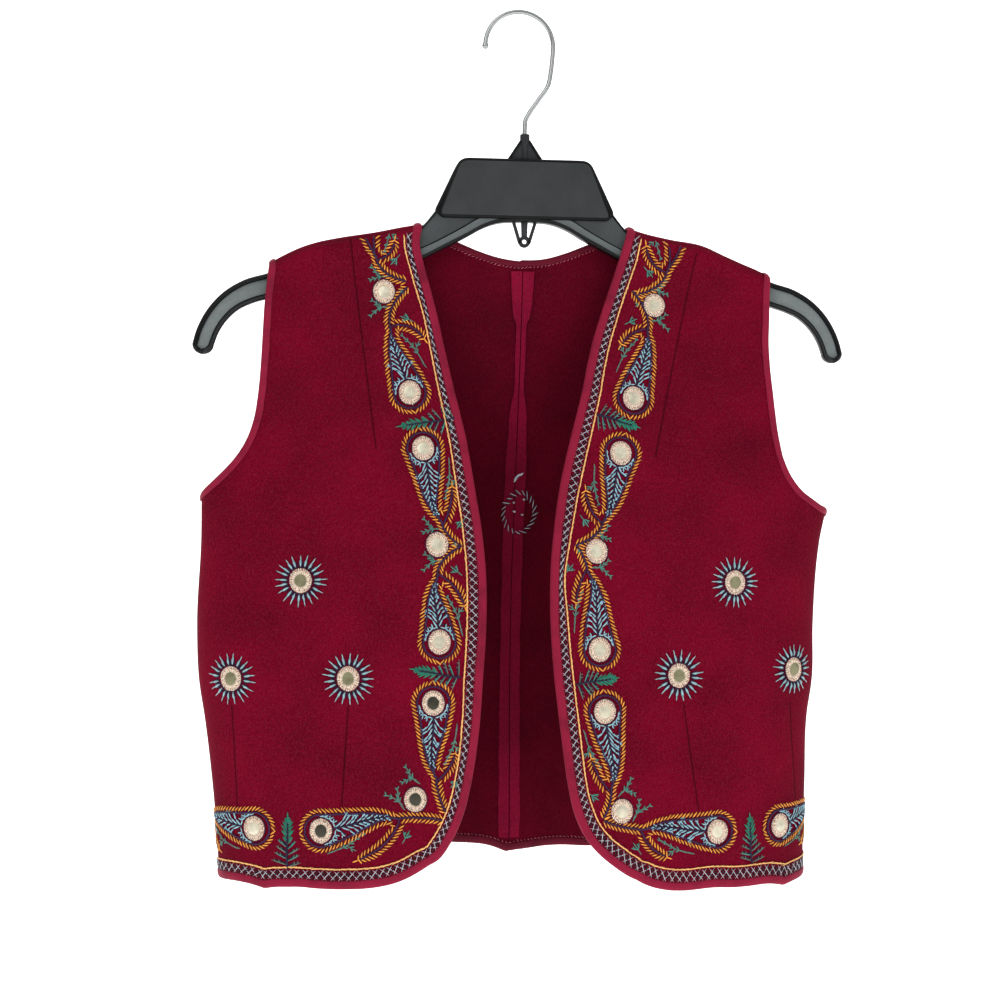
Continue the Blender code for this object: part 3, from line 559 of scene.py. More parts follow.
    def slopes(self, face: Array | int, s: Array, q: Array) -> tuple[Array, Array]:
        """How a point of the surface moves for each unit of `s` and of `q`.

        Args:
            face: front or back, for all places or for each.
            s: share of the way from the middle to a side seam, signed.
            q: length of cloth below the crest.

        Returns:
            The two moves.
        """
        ds, dq = 0.002, 0.3
        along = (self.point(face, s + ds, q) - self.point(face, s - ds, q)) / (2 * ds)
        down = (self.point(face, s, q + dq) - self.point(face, s, q - dq)) / (2 * dq)
        return along, down

    def drop_to(self, x: Array, z: Array) -> Array:
        """The `q` of places given by their width and height, below the crest.

        Args:
            x: distance from the middle, signed.
            z: the places' heights.

        Returns:
            The lengths of cloth.
        """
        radius = self.shoulder_radius
        fall = self.crest(x) - z
        on_roll = radius * np.arccos(np.clip(1 - fall / radius, -1, 1))
        return np.where(fall < radius, on_roll, fall + radius * (math.pi / 2 - 1))

    def pattern_of(self, x: Array, z: Array) -> Array:
        """Pattern coordinates of places given by their width and height.

        Args:
            x: distance from the middle, signed.
            z: the places' heights.

        Returns:
            Rows of `s` and `q`.
        """
        x, z = np.asarray(x, float), np.asarray(z, float)
        u = np.clip(x / self.half_width(x, z), -1, 1)
        return np.stack([np.arcsin(u) * 2 / math.pi, self.drop_to(x, z)], axis=-1)

    def inwards(self, face: Array, line: Array, out: Array, width: float, seams: dict[int, Seam]) -> Array:
        """Moves pattern points in from an edge of the cloth.

        Args:
            face: front or back at each point.
            line: the edge's pattern points.
            out: unit vectors away from the cloth at each point.
            width: how far to move, in millimetres.
            seams: the seam that a point is on, by its number, along which it moves.

        Returns:
            The moved pattern points.
        """
        along, down = self.slopes(face, line[:, 0], line[:, 1])
        aa, ab, bb = ((p * r).sum(-1) for p, r in ((along, along), (along, down), (down, down)))
        ra, rb = (along * -width * out).sum(-1), (down * -width * out).sum(-1)
        det = aa * bb - ab * ab
        step = np.stack([(bb * ra - ab * rb) / det, (aa * rb - ab * ra) / det], axis=-1)
        for k, seam in seams.items():
            if seam is Seam.SHOULDER:
                step[k] = math.copysign(width / math.sqrt(aa[k]), step[k, 0]), 0.0
            else:
                step[k] = 0.0, math.copysign(width / math.sqrt(bb[k]), step[k, 1])
        return line + step


@dataclass
class Chart:
    """Turns chart places, distance round the body and height, into places on the cloth."""

    form: BodyForm
    face: Face
    low: float = -580.0
    high: float = -136.0
    step: float = 4.0

    def __post_init__(self) -> None:
        """Measures the body round each of its levels."""
        self.levels = np.arange(self.low, self.high + self.step, self.step)
        self.shares = np.linspace(-1, 1, 241)
        u = np.sin(0.5 * math.pi * self.shares)[None]
        z = np.repeat(self.levels[:, None], len(self.shares), axis=1)
        x = u * self.form.half_width(u + 0 * z, z)
        y = self.form.depth(np.full(z.shape, int(self.face)), u + 0 * z, z, 0 * z)
        run = np.concatenate([np.zeros((len(z), 1)), np.cumsum(np.hypot(np.diff(x), np.diff(y)), axis=1)], axis=1)
        self.runs = run - run[:, [len(self.shares) // 2]]

    def row(self, z: Array) -> Array:
        """The distances round the body at heights, one row for each height.

        Args:
            z: the heights.

        Returns:
            The distances at even steps of `s`.
        """
        place = np.clip((z - self.levels[0]) / self.step, 0, len(self.levels) - 1.001)
        index = place.astype(int)
        share = (place - index)[:, None]
        return (1 - share) * self.runs[index] + share * self.runs[index + 1]

    def across(self, s: Array, z: Array) -> Array:
        """Distance round the body of places given by `s` and height.

        Args:
            s: share of the way from the middle to a side seam, signed.
            z: the places' heights.

        Returns:
            The distances.
        """
        s, z = np.asarray(s, float).ravel(), np.asarray(z, float).ravel()
        place = np.clip((s + 1) / 2 * (len(self.shares) - 1), 0, len(self.shares) - 1.001)
        index = place.astype(int)
        rows, pick = self.row(z), np.arange(len(s))
        return rows[pick, index] + (place - index) * (rows[pick, index + 1] - rows[pick, index])

    def on_cloth(self, places: Array) -> tuple[Array, Array, Array]:
        """Finds chart places on the cloth.

        Args:
            places: rows of distance round the body and height.

        Returns:
            The middle of the cloth there, its normals, and whether each place is on this face.
        """
        places = np.atleast_2d(np.asarray(places, float))
        rows = self.row(places[:, 1])
        s = np.array([np.interp(a, row, self.shares) for a, row in zip(places[:, 0], rows)])
        u = np.sin(0.5 * math.pi * s)
        x = u * self.form.half_width(u, places[:, 1])
        kept = (places[:, 0] > rows[:, 0]) & (places[:, 0] < rows[:, -1])
        kept &= self.form.crest(x) - places[:, 1] > self.form.seam_drop
        q = self.form.drop_to(x, places[:, 1])
        return self.form.point(self.face, s, q), self.form.normal(self.face, s, q), kept


# ---- the cut of the cloth


@dataclass
class Cut:
    """The pattern of the vest: the edges of its four panels, and the grids between them."""

    form: BodyForm
    neck_point: float = 69.3
    # What differs by side is a tuple of the right's and the left's.
    shoulder_end: tuple = (-165.6, 163.6)
    armpit: tuple = (-318.0, -326.0)
    hem_at_side: tuple = (-561.5, -564.0)
    armhole_inset: float = 1.0
    leaf: float = 5.3
    front_lead: tuple = (0.0, 2.4, 5.0, 9.0)
    back_lead: tuple = (0.0, 3.2, 6.4, 9.6, 13.0, 18.0)
    neck_lead: tuple = (0.0, 2.4, 4.8, 7.4, 10.4, 15.0, 23.0)
    centre_lead: tuple = (0.0, 5.0, 10.0, 16.0, 25.0, 37.0)
    front_rows: tuple = (14, 10)
    back_rows: tuple = (13, 9)
    front_columns: int = 13
    back_columns: tuple = (10, 8)
    bunching: tuple = (0.75, 0.6, 0.85)
    neck_swing: tuple = (0.024, 3.2, 4.0)
    fine: float = 2.6
    # Weighs `s` against millimetres of `q`, and an X past any side seam.
    span: float = 300.0
    # Height, and the front edges' X on the right and on the left.
    front_edge: tuple = (
        (-150, -70.9, 66.8), (-170, -67.4, 60.5), (-190, -62, 53.4), (-220, -55.7, 43.5),
        (-250, -49.3, 36.4), (-280, -42.6, 27.8), (-310, -38, 20.1), (-340, -33.7, 15),
        (-370, -31.4, 12.2), (-400, -31.7, 12.2), (-430, -33.8, 14), (-460, -36, 17.4),
        (-490, -40.1, 21.4), (-512, -44.8, 25.4), (-529, -51.2, 32), (-545, -63, 45.8),
    )
    front_hem: tuple = (
        ((-63, -545), (-74, -552.8), (-88, -558.4), (-105, -561.4), (-130, -562.4), (-165, -562.2)),
        ((45.8, -545), (57, -555), (69.5, -561.8), (88, -565.4), (112, -566), (155, -565.4)),
    )
    armhole: tuple = (
        (
            (-166.6, -176), (-168.3, -192), (-169.5, -212), (-170.6, -232), (-172.4, -253),
            (-175.6, -271), (-181, -285), (-188.6, -296), (-197.4, -305.4), (-204.6, -312.4),
        ),
        (
            (162.9, -177), (162.2, -193), (161, -210), (161.2, -228), (162.6, -247), (164.2, -266),
            (166.6, -283), (170.4, -297), (177.6, -309), (189.6, -318.4),
        ),
    )
    back_neck: tuple = ((0.0, -162.2), (15.0, -160.8), (30.0, -156.4), (44.0, -150.8), (58.0, -145.4), (66.5, -141.6))
    back_hem: tuple = (
        ((0, -559.3), (-10, -556.4), (-36, -553.6), (-110, -557.5), (-165, -560.5)),
        ((0, -559.3), (12, -558.2), (30, -556.6), (60, -557.2), (110, -560), (155, -562.6)),
    )

    def through(self, points: list) -> Array:
        """A smooth dense line through pattern points.

        Args:
            points: the pattern points.

        Returns:
            The line.
        """
        points = np.asarray(points, float)
        run = length_along(points * (self.span, 1.0))
        steps = [np.linspace(a, b, 12, endpoint=False) for a, b in zip(run, run[1:])]
        return smooth(run, points, np.concatenate(steps + [run[-1:]]))

    def lengths(self, face: Array | int, line: Array) -> Array:
        """Length of cloth along a pattern line, up to each of its points."""
        return length_along(self.form.point(face, line[:, 0], line[:, 1]))

    def sample(self, face: int, line: Array, stations: Array) -> Array:
        """Pattern points at the given lengths along a line."""
        run = self.lengths(face, line)
        return np.stack([np.interp(stations, run, line[:, 0]), np.interp(stations, run, line[:, 1])], axis=-1)

    def spread(self, count: int, bunching: float) -> Array:
        """Shares of a length from 0 to 1, closer together towards its end, where the body turns."""
        even = np.linspace(0, 1, count + 1)
        return (1 - bunching) * even + bunching * np.sin(0.5 * math.pi * even)

    def divided(self, face: int, line: Array, count: int, lead: tuple = (0.0,), bunching: float = 0.0) -> Array:
        """Samples a line at the lead lengths, then in steps to its end, which may bunch towards it."""
        rest = lead[-1] + self.spread(count, bunching)[1:] * (self.lengths(face, line)[-1] - lead[-1])
        return self.sample(face, line, np.concatenate([lead, rest]))

    def seam_end(self, x: float, q: float) -> list[float]:
        """A pattern point on the shoulder seam."""
        z = self.form.crest(np.asarray(x)) - self.form.roll(np.asarray(float(q)))[1]
        return [float(np.arcsin(x / self.form.half_width(np.asarray(x), z)) * 2 / math.pi), q]

    def armhole_line(self, side: Side, face: Face) -> Array:
        """Cut edge of an armhole, from the shoulder seam to the side seam.

        Args:
            side: the half of the garment.
            face: front or back.

        Returns:
            The line's pattern points.
        """
        inset = self.armhole_inset if face == Face.BACK else 0.0
        seam, gap = self.form.forward_seam, self.form.seam_gap / 2
        starts = (seam + gap,) if face == Face.FRONT else (gap - seam, 2.0)
        points = [self.seam_end(self.shoulder_end[side.index], q) for q in starts]
        rows = np.array(self.armhole[side.index])
        points += list(self.form.pattern_of(rows[:, 0] - side * inset, rows[:, 1]))
        points.append([side, self.form.pattern_of(side * self.span, self.armpit[side.index])[1]])
        return self.through(points)

    def side_line(self, side: Side) -> Array:
        """A side seam, from the armpit to the hem.

        Args:
            side: the half of the garment.

        Returns:
            The line's pattern points.
        """
        heights = np.linspace(self.armpit[side.index], self.hem_at_side[side.index], 9)
        edge = self.form.half_width(side * np.ones(9), heights) * side
        return np.stack([np.full(9, float(side)), self.form.pattern_of(edge, heights)[:, 1]], axis=-1)

    def outer_edge(self, face: Face, side: Side, rows: tuple, lead: tuple) -> Array:
        """A panel's outer edge, sampled down its armhole and its side seam."""
        armhole = self.divided(face, self.armhole_line(side, face), rows[0], lead, self.bunching[0])
        return np.concatenate([armhole, self.divided(face, self.side_line(side), rows[1])[1:]])

    def patch(self, face: int, inner: Array, outer: Array, top: Array, low: Array) -> Array:
        """A grid of pattern points between four sampled edges, each edge blended into the next.

        Args:
            face: front or back.
            inner: the edge nearest the middle.
            outer: the edge down the armhole and the side.
            top: the upper edge.
            low: the hem.

        Returns:
            The grid.
        """
        runs = [self.lengths(face, line) for line in (inner, outer, top, low)]
        shares = [run / run[-1] for run in runs]
        rows, columns = ((shares[0] + shares[1]) / 2)[:, None, None], ((shares[2] + shares[3]) / 2)[None, :, None]
        along = (1 - columns) * inner[:, None] + columns * outer[:, None]
        across = (1 - rows) * top[None] + rows * low[None]
        corners = (1 - rows) * ((1 - columns) * top[0] + columns * top[-1])
        return along + across - corners - rows * ((1 - columns) * low[0] + columns * low[-1])

    def edged(self, face: int, grid: Array, first: int, lead: tuple = ()) -> Array:
        """Spaces each row anew from column `first`, with one column a leaf's width inside the outer edge.

        Args:
            face: front or back.
            grid: the grid.
            first: the first column that moves.
            lead: lengths of the first steps, which stay.

        Returns:
            The grid spaced anew.
        """
        spaced = grid.copy()
        for row, line in zip(spaced, grid[:, first:]):
            start, length = sum(lead), self.lengths(face, line)[-1]
            shares = self.spread(len(line) - 2 - len(lead), self.bunching[1])
            inner = start + shares * (length - start - self.leaf)
            row[first:] = self.sample(face, line, np.concatenate([np.zeros(len(lead)), inner, [length]]))
        return spaced

    def front(self, side: Side) -> Array:
        """The grid of pattern points of a front.

        Args:
            side: the half of the garment.

        Returns:
            The grid.
        """
        face, form = Face.FRONT, self.form
        rows = np.array(self.front_edge)
        edge = form.pattern_of(rows[:, 1 + side.index], rows[:, 0])
        inner = self.through([self.seam_end(side * self.neck_point, form.forward_seam + form.seam_gap / 2), *edge])
        hem_rows = np.array(self.front_hem[side.index])
        hem = self.through([*form.pattern_of(hem_rows[:, 0], hem_rows[:, 1]), self.side_line(side)[-1]])
        outer = self.outer_edge(face, side, self.front_rows, self.front_lead)
        shoulder = np.linspace(inner[0], outer[0], 40)
        inner = self.divided(face, inner, len(outer) - len(self.front_lead), self.front_lead)
        top = self.divided(face, shoulder, self.front_columns, bunching=self.bunching[1])
        low = self.divided(face, hem, self.front_columns, bunching=self.bunching[2])
        return self.edged(face, self.patch(face, inner, outer, top, low), 0, lead=(self.leaf,))

    def back(self, side: Side) -> Array:
        """The grid of pattern points of a back.

        Args:
            side: the half of the garment.

        Returns:
            The grid.
        """
        face, form = Face.BACK, self.form
        q_seam = form.seam_gap / 2 - form.forward_seam
        neck_rows = np.array(self.back_neck) * (side, 1)
        neck_rows[0, 0] = side * form.seam_gap / 2
        points = [*form.pattern_of(neck_rows[:, 0], neck_rows[:, 1]), self.seam_end(side * 69.0, 1.6)]
        neck = self.through([*points, self.seam_end(side * self.neck_point, q_seam)])
        hem_rows = np.array(self.back_hem[side.index])
        hem_rows[0, 0] = side * form.seam_gap / 2
        hem = self.through([*form.pattern_of(hem_rows[:, 0], hem_rows[:, 1]), self.side_line(side)[-1]])
        outer = self.outer_edge(face, side, self.back_rows, self.back_lead)
        inner = self.divided(face, np.linspace(neck[0], hem[0], 60), len(outer) - len(self.back_lead), self.back_lead)
        columns = self.back_columns
        top = np.concatenate(
            [
                self.divided(face, neck[::-1], columns[0] + 1 - len(self.neck_lead), self.neck_lead)[::-1],
                self.divided(face, np.linspace(neck[-1], outer[0], 40), columns[1], bunching=self.bunching[1])[1:],
            ]
        )
        low = self.divided(face, hem, len(top) - len(self.centre_lead), self.centre_lead, self.bunching[2])
        grid = self.patch(face, inner, outer, top, low)
        run = self.lengths(face, inner)
        below = (1 - np.exp(-run / self.neck_swing[2])) * (1 - run / run[-1])
        beside = np.exp(-(((np.arange(len(top)) - columns[0] + 1.5) / self.neck_swing[1]) ** 2))
        beside[[0, -1]] = 0.0
        grid[..., 0] += side * self.neck_swing[0] * below[:, None] * beside
        return self.edged(face, grid, columns[0])

    def finer(self, face: int, lines: Array, size: float) -> Array:
        """Puts smooth points between the points of a line or the rows of a grid.

        Args:
            face: front or back.
            lines: pattern points, a line or a grid; its first axis is made finer.
            size: the distance wanted between points, in millimetres.

        Returns:
            The finer line or grid.
        """
        place = self.form.point(face, lines[..., 0], lines[..., 1])
        steps = np.linalg.norm(np.diff(place, axis=0), axis=-1)
        steps = steps.reshape(len(steps), -1).mean(axis=1)
        run = np.concatenate([[0.0], np.cumsum(steps)])
        at = [np.linspace(a, b, max(1, round((b - a) / size)), endpoint=False) for a, b in zip(run, run[1:])]
        return smooth(run, lines, np.concatenate(at + [run[-1:]]))

    def fine_grid(self, face: int, grid: Array) -> Array:
        """A grid made finer both ways."""
        rows = self.finer(face, grid, self.fine)
        return self.finer(face, rows.swapaxes(0, 1), self.fine).swapaxes(0, 1)


# ---- finishes


@dataclass(frozen=True)
class Finish:
    """A real material: its name, the grains of its surface, and the nodes and values that feed its shader."""

    name: str
    # Sizes of the noise that marks it, in millimetres, each with its detail.
    grains: tuple[Place, ...] = ()

    def build(self) -> Material:
        """Makes the material.

        Returns:
            The material.
        """
        made = bpy.data.materials.new(self.name)
        made.use_nodes = True
        tree = made.node_tree
        place = add_node(tree, "ShaderNodeTexCoord").outputs["Object"]
        sizes = ({"Vector": place, "Scale": 1 / (size * MM), "Detail": detail} for size, detail in self.grains)
        grains = [add_node(tree, "ShaderNodeTexNoise", inputs) for inputs in sizes]
        feed(tree.nodes["Principled BSDF"], self.paint(partial(add_node, tree), *grains))
        return made

    def paint(self, node: AddNode, *grains: Node) -> dict:
        """Adds the finish's nodes.

        Args:
            node: adds a node to the material.
            *grains: the noise.

        Returns:
            What feeds the shader's inputs.
        """
        raise NotImplementedError


@dataclass(frozen=True)
class WoolFinish(Finish):
    """Felted wool: matt deep crimson with a short nap, with painted shade along its sewn lines and on its inner side.
    """

    name: str = "wool_flannel"
    colour: str = "#760021"
    dark: str = "#530015"
    fibre_glint: str = "#862C3E"
    sheen: str = "#C03050"
    # The nap, the mottle, and the specks painted lighter as glints of fibre ends catching the light.
    grains: tuple[Place, ...] = ((0.6, 3.0), (42.0, 4.0), (0.6 / 0.7, 2.0))
    seams: bool = True
    darts: tuple[tuple[Place, Place], ...] = ()

    def paint(self, node: AddNode, *grains: Node) -> dict:
        """Adds the nap, the twill, the mottle, painted glints on fibre ends, and painted shade along sewn lines and on
        the inner side.

        Args:
            node: adds a node to the material.
            *grains: the noise.

        Returns:
            What feeds the shader's inputs.
        """
        cloth = node("ShaderNodeUVMap", uv_map="cloth")
        nap, mottle, fleck = grains
        # The twill under the nap shows as faint upright ribs.
        stretched = node("ShaderNodeVectorMath", {0: cloth, 1: (1250.0, 420.0, 0.0)}, operation="MULTIPLY")
        rib = node("ShaderNodeTexNoise", {"Vector": stretched, "Scale": 1.0, "Detail": 1.0})
        weave = node("ShaderNodeMath", {0: nap, 1: rib}, operation="ADD")
        mixed = node("ShaderNodeMath", {0: mottle, 1: 1.1, 2: weave}, operation="MULTIPLY_ADD")
        tone = node("ShaderNodeMapRange", {"Value": mixed, "From Min": 1.2, "From Max": 1.9})
        colour = node("ShaderNodeMix", {0: tone, 6: srgb(self.dark), 7: srgb(self.colour)}, data_type="RGBA").outputs[2]
        # Painted glints: the lighter fibre colour is mixed in, up to three tenths, where the fine noise is high.
        share = node("ShaderNodeMapRange", {"Value": fleck, "From Min": 0.45, "From Max": 0.75, "To Max": 0.3})
        lit = node("ShaderNodeMix", {0: share, 6: colour, 7: srgb(self.fibre_glint)}, data_type="RGBA").outputs[2]
        height, closest = weave, self.sewn_line(node, cloth)
        if closest is not None:
            limits = {"Value": closest, "From Max": 1.5 * MM}
            groove = node("ShaderNodeMapRange", limits, interpolation_type="SMOOTHSTEP")
            height = node("ShaderNodeMath", {0: groove, 1: 3.0, 2: height}, operation="MULTIPLY_ADD")
            # Painted shade: the colour darkens in the grooves of seams and darts, beside the bump that sinks them, and
            # on the cloth's inner side inside the vest.
            shade = node("ShaderNodeMapRange", {"Value": closest, "From Max": 0.85 * MM, "To Min": 0.3})
            inner = node("ShaderNodeAttribute", attribute_name="shaded_inner_side").outputs["Fac"]
            inner = node("ShaderNodeMapRange", {"Value": inner, "To Min": 1.0, "To Max": 0.62})
            shade = node("ShaderNodeMath", {0: shade, 1: inner}, operation="MULTIPLY")
            lit = node("ShaderNodeVectorMath", {0: lit, "Scale": shade}, operation="SCALE")
        return {
            "Base Color": lit,
            "Normal": node("ShaderNodeBump", {"Height": height, "Strength": 0.35, "Distance": 0.25 * MM}),
            "Roughness": 0.95,
            "Specular IOR Level": 0.06,
            "Sheen Weight": 0.03,
            "Sheen Roughness": 0.5,
            "Sheen Tint": srgb(self.sheen),
        }

    def sewn_line(self, node: AddNode, cloth: Node) -> Node | NodeSocket | None:
        """How far the closest seam or dart is, in metres.

        Args:
            node: adds a node to the material.
            cloth: the chart coordinates.

        Returns:
            The distance, or None where nothing is sewn.
        """
        closest = None
        if self.seams:
            closest = node("ShaderNodeAttribute", attribute_name="seam_distance").outputs["Fac"]
        for start, end in self.darts:
            line = ((end[0] - start[0]) * MM, (end[1] - start[1]) * MM, 0.0)
            scale = 1 / (line[0] ** 2 + line[1] ** 2)
            first = (start[0] * MM, start[1] * MM, 0.0)
            away = node("ShaderNodeVectorMath", {0: cloth, 1: first}, operation="SUBTRACT")
            share = node("ShaderNodeVectorMath", {0: away, 1: line}, operation="DOT_PRODUCT").outputs["Value"]
            share = node("ShaderNodeMath", {0: share, 1: scale}, operation="MULTIPLY", use_clamp=True)
            foot = node("ShaderNodeVectorMath", {0: line, "Scale": share}, operation="SCALE")
            away = node("ShaderNodeVectorMath", {0: away, 1: foot}, operation="DISTANCE").outputs["Value"]
            closest = node("ShaderNodeMath", {0: closest, 1: away}, operation="MINIMUM")
        return closest


@dataclass(frozen=True)
class BindingFinish(Finish):
    """Cotton bias strip: brighter than the wool, closely woven, with a low shine along its fold."""

    name: str = "cotton_bias"
    colour: str = "#8B1735"
    dark: str = "#6C1029"
    grains: tuple[Place, ...] = ((0.45, 2.0), (14.0, 3.0))

    def paint(self, node: AddNode, *grains: Node) -> dict:
        """Adds the yarns, the uneven wear and painted shade on the inner side.

        Args:
            node: adds a node to the material.
            *grains: the noise.

        Returns:
            What feeds the shader's inputs.
        """
        yarn, wear = grains
        mixed = node("ShaderNodeMath", {0: yarn, 1: wear}, operation="ADD")
        tone = node("ShaderNodeValToRGB", {"Fac": mixed})
        for element, at, colour in zip(tone.color_ramp.elements, (0.72, 1.0), (self.dark, self.colour)):
            element.position, element.color = at, srgb(colour)
        # Painted shade: the strip's inner side, inside the vest, is darkened to 0.45 of its colour.
        inner = node("ShaderNodeAttribute", attribute_name="shaded_inner_side").outputs["Fac"]
        shade = node("ShaderNodeMapRange", {"Value": inner, "To Min": 1.0, "To Max": 0.45})
        return {
            "Base Color": node("ShaderNodeVectorMath", {0: tone, "Scale": shade}, operation="SCALE"),
            "Normal": node("ShaderNodeBump", {"Height": yarn, "Strength": 0.3, "Distance": 0.15 * MM}),
            "Roughness": 0.62,
            "Specular IOR Level": 0.1,
            "Sheen Weight": 0.02,
        }


@dataclass(frozen=True)
class ThreadFinish(Finish):
    """Twisted cotton and silk thread, in each stitch's own colour, with a soft shine and fine plies."""

    name: str = "embroidery_thread"
    grains: tuple[Place, ...] = ((0.35, 2.0),)

    def paint(self, node: AddNode, *grains: Node) -> dict:
        """Adds the plies over each stitch's colour.

        Args:
            node: adds a node to the material.
            *grains: the noise.

        Returns:
            What feeds the shader's inputs.
        """
        own = node("ShaderNodeAttribute", attribute_name="thread_colour")
        (ply,) = grains
        shade = node("ShaderNodeMapRange", {"Value": ply, "From Min": 0.35, "From Max": 0.6, "To Min": 0.78})
        return {
            "Base Color": node("ShaderNodeVectorMath", {0: own, "Scale": shade}, operation="SCALE"),
            "Normal": node("ShaderNodeBump", {"Height": ply, "Strength": 0.25, "Distance": 0.12 * MM}),
            "Roughness": 0.55,
            "Specular IOR Level": 0.25,
        }


@dataclass(frozen=True)
class MirrorFinish(Finish):
    """Old blown-glass mirror: silvered, a little cloudy, and toned cream or grey-green piece by piece."""

    name: str = "silvered_glass"
    clear: str = "#DDD6BE"
    toned: str = "#8A8768"
    dark: str = "#3E3C30"
    grains: tuple[Place, ...] = ((3.2, 3.0),)

    def paint(self, node: AddNode, *grains: Node) -> dict:
        """Adds the cloudiness over each mirror's tint.

        Args:
            node: adds a node to the material.
            *grains: the noise.

        Returns:
            What feeds the shader's inputs.
        """
        own = node("ShaderNodeAttribute", attribute_name="tint")
        (cloud,) = grains
        haze = node("ShaderNodeMapRange", {"Value": cloud, "From Min": 0.35, "From Max": 0.65, "To Min": 0.8})
        return {
            "Base Color": node("ShaderNodeVectorMath", {0: own, "Scale": haze}, operation="SCALE"),
            "Roughness": node("ShaderNodeMapRange", {"Value": cloud, "To Min": 0.22, "To Max": 0.42}),
            "Metallic": 0.5,
        }


@dataclass(frozen=True)
class PlasticFinish(Finish):
    """Moulded polystyrene: near-black and smooth on the rims, and grained and rougher on its flats, the web's pale grey
    being painted reflection.
    """

    name: str = "moulded_polystyrene"
    # Black rims, then the plate's grey and the web's paler grey, which is painted reflection.
    tones: tuple[str, str, str] = ("#0A0B0C", "#37393B", "#757C7C")
    grains: tuple[Place, ...] = ((0.8, 3.0), (16.0, 3.0))

    def paint(self, node: AddNode, *grains: Node) -> dict:
        """Adds the rims' and the flats' colours, the web's pale grey being painted reflection, the grain and the patchy
        wear.

        Args:
            node: adds a node to the material.
            *grains: the noise.

        Returns:
            What feeds the shader's inputs.
        """
        # One value per face: how grained it is, and how far its colour turns from black to grey as painted reflection.
        grain_and_reflection = node("ShaderNodeAttribute", attribute_name="grain_and_reflection").outputs["Fac"]
        grain, wear = grains
        tone = node("ShaderNodeValToRGB", {"Fac": grain_and_reflection})
        tone.color_ramp.elements.new(0.5)
        for element, colour in zip(tone.color_ramp.elements, self.tones):
            element.color = srgb(colour)
        patchy = node("ShaderNodeMath", {0: grain, 1: wear}, operation="ADD")
        limits = {"From Min": 0.7, "From Max": 1.3, "To Min": 0.84, "To Max": 1.12}
        patchy = node("ShaderNodeMapRange", {"Value": patchy, **limits})
        depth = node("ShaderNodeMath", {0: grain_and_reflection, 1: 0.3}, operation="MULTIPLY")
        return {
            "Base Color": node("ShaderNodeVectorMath", {0: tone, "Scale": patchy}, operation="SCALE"),
            "Roughness": node("ShaderNodeMapRange", {"Value": grain_and_reflection, "To Min": 0.32, "To Max": 0.6}),
            "Normal": node("ShaderNodeBump", {"Height": grain, "Strength": depth, "Distance": 0.12 * MM}),
            "Specular IOR Level": 0.14,
        }


@dataclass(frozen=True)
class WireFinish(Finish):
    """Bright drawn steel wire, lightly brushed along its length."""

    name: str = "drawn_steel"
    colour: str = "#A6A8A9"
    grains: tuple[Place, ...] = ((1.2, 2.0),)

    def paint(self, node: AddNode, *grains: Node) -> dict:
        """Adds the brushed streaks.

        Args:
            node: adds a node to the material.
            *grains: the noise.

        Returns:
            What feeds the shader's inputs.
        """
        (streak,) = grains
        return {
            "Base Color": srgb(self.colour),
            "Roughness": node("ShaderNodeMapRange", {"Value": streak, "To Min": 0.16, "To Max": 0.34}),
            "Metallic": 1.0,
            # Painted shade: a grey edge tint darkens the wire's reflection towards its sides.
            "Specular Tint": srgb("#4A4A4A"),
        }


@dataclass(frozen=True)
class PaperFinish(Finish):
    """Plain pale studio paper."""

    name: str = "paper_sweep"

    def paint(self, node: AddNode, *grains: Node) -> dict:
        """Sets the paper's plain colour."""
        glow = {"Emission Color": srgb("#FFFFFF"), "Emission Strength": 0.8}
        return {"Base Color": srgb("#F7F7F7"), "Roughness": 0.9, **glow}


@dataclass(frozen=True)
class Thread:
    """A thread: its colour, and how much lighter or darker one stitch is than the next."""

    colour: str
    vary: float = 0.10

    def tones(self, count: int, rng: np.random.Generator) -> Array:
        """Linear colours for stitches, each a little off the thread's own."""
        scale = 1 + self.vary * rng.uniform(-1, 1, (count, 1))
        return np.concatenate([np.array(srgb(self.colour)[:3])[None] * scale, np.ones((count, 1))], axis=1)


class Threads:
    """The threads of the embroidery."""

    ORANGE = Thread("#FFAA44", 0.15)
    # Beside the orange stitches this dark thread stands partly for painted shadow in their gaps.
    RUST = Thread("#6A130A", 0.22)
    GOLD = Thread("#FFC47A", 0.08)
    PURPLE = Thread("#361C42", 0.18)
    NAVY = Thread("#221C3A", 0.15)
    SKY = Thread("#97C4D2", 0.14)
    PALE = Thread("#BFC6CE", 0.10)
    RAY = Thread("#9DBDC4", 0.12)
    TEAL = Thread("#4A8C80", 0.16)
    MOSS = Thread("#5E7A70", 0.14)
    GREEN = Thread("#1E7F66", 0.16)
    CREAM = Thread("#F2E4CE", 0.12)
    PINK = Thread("#D9A090", 0.14)
    BUTTON = Thread("#5E2624", 0.30)
    # Under the herringbone this near-black thread stands partly for painted shadow.
    GROUND = Thread("#2A0C1C", 0.15)
    HEM = Thread("#C06070", 0.25)


# ---- stitches


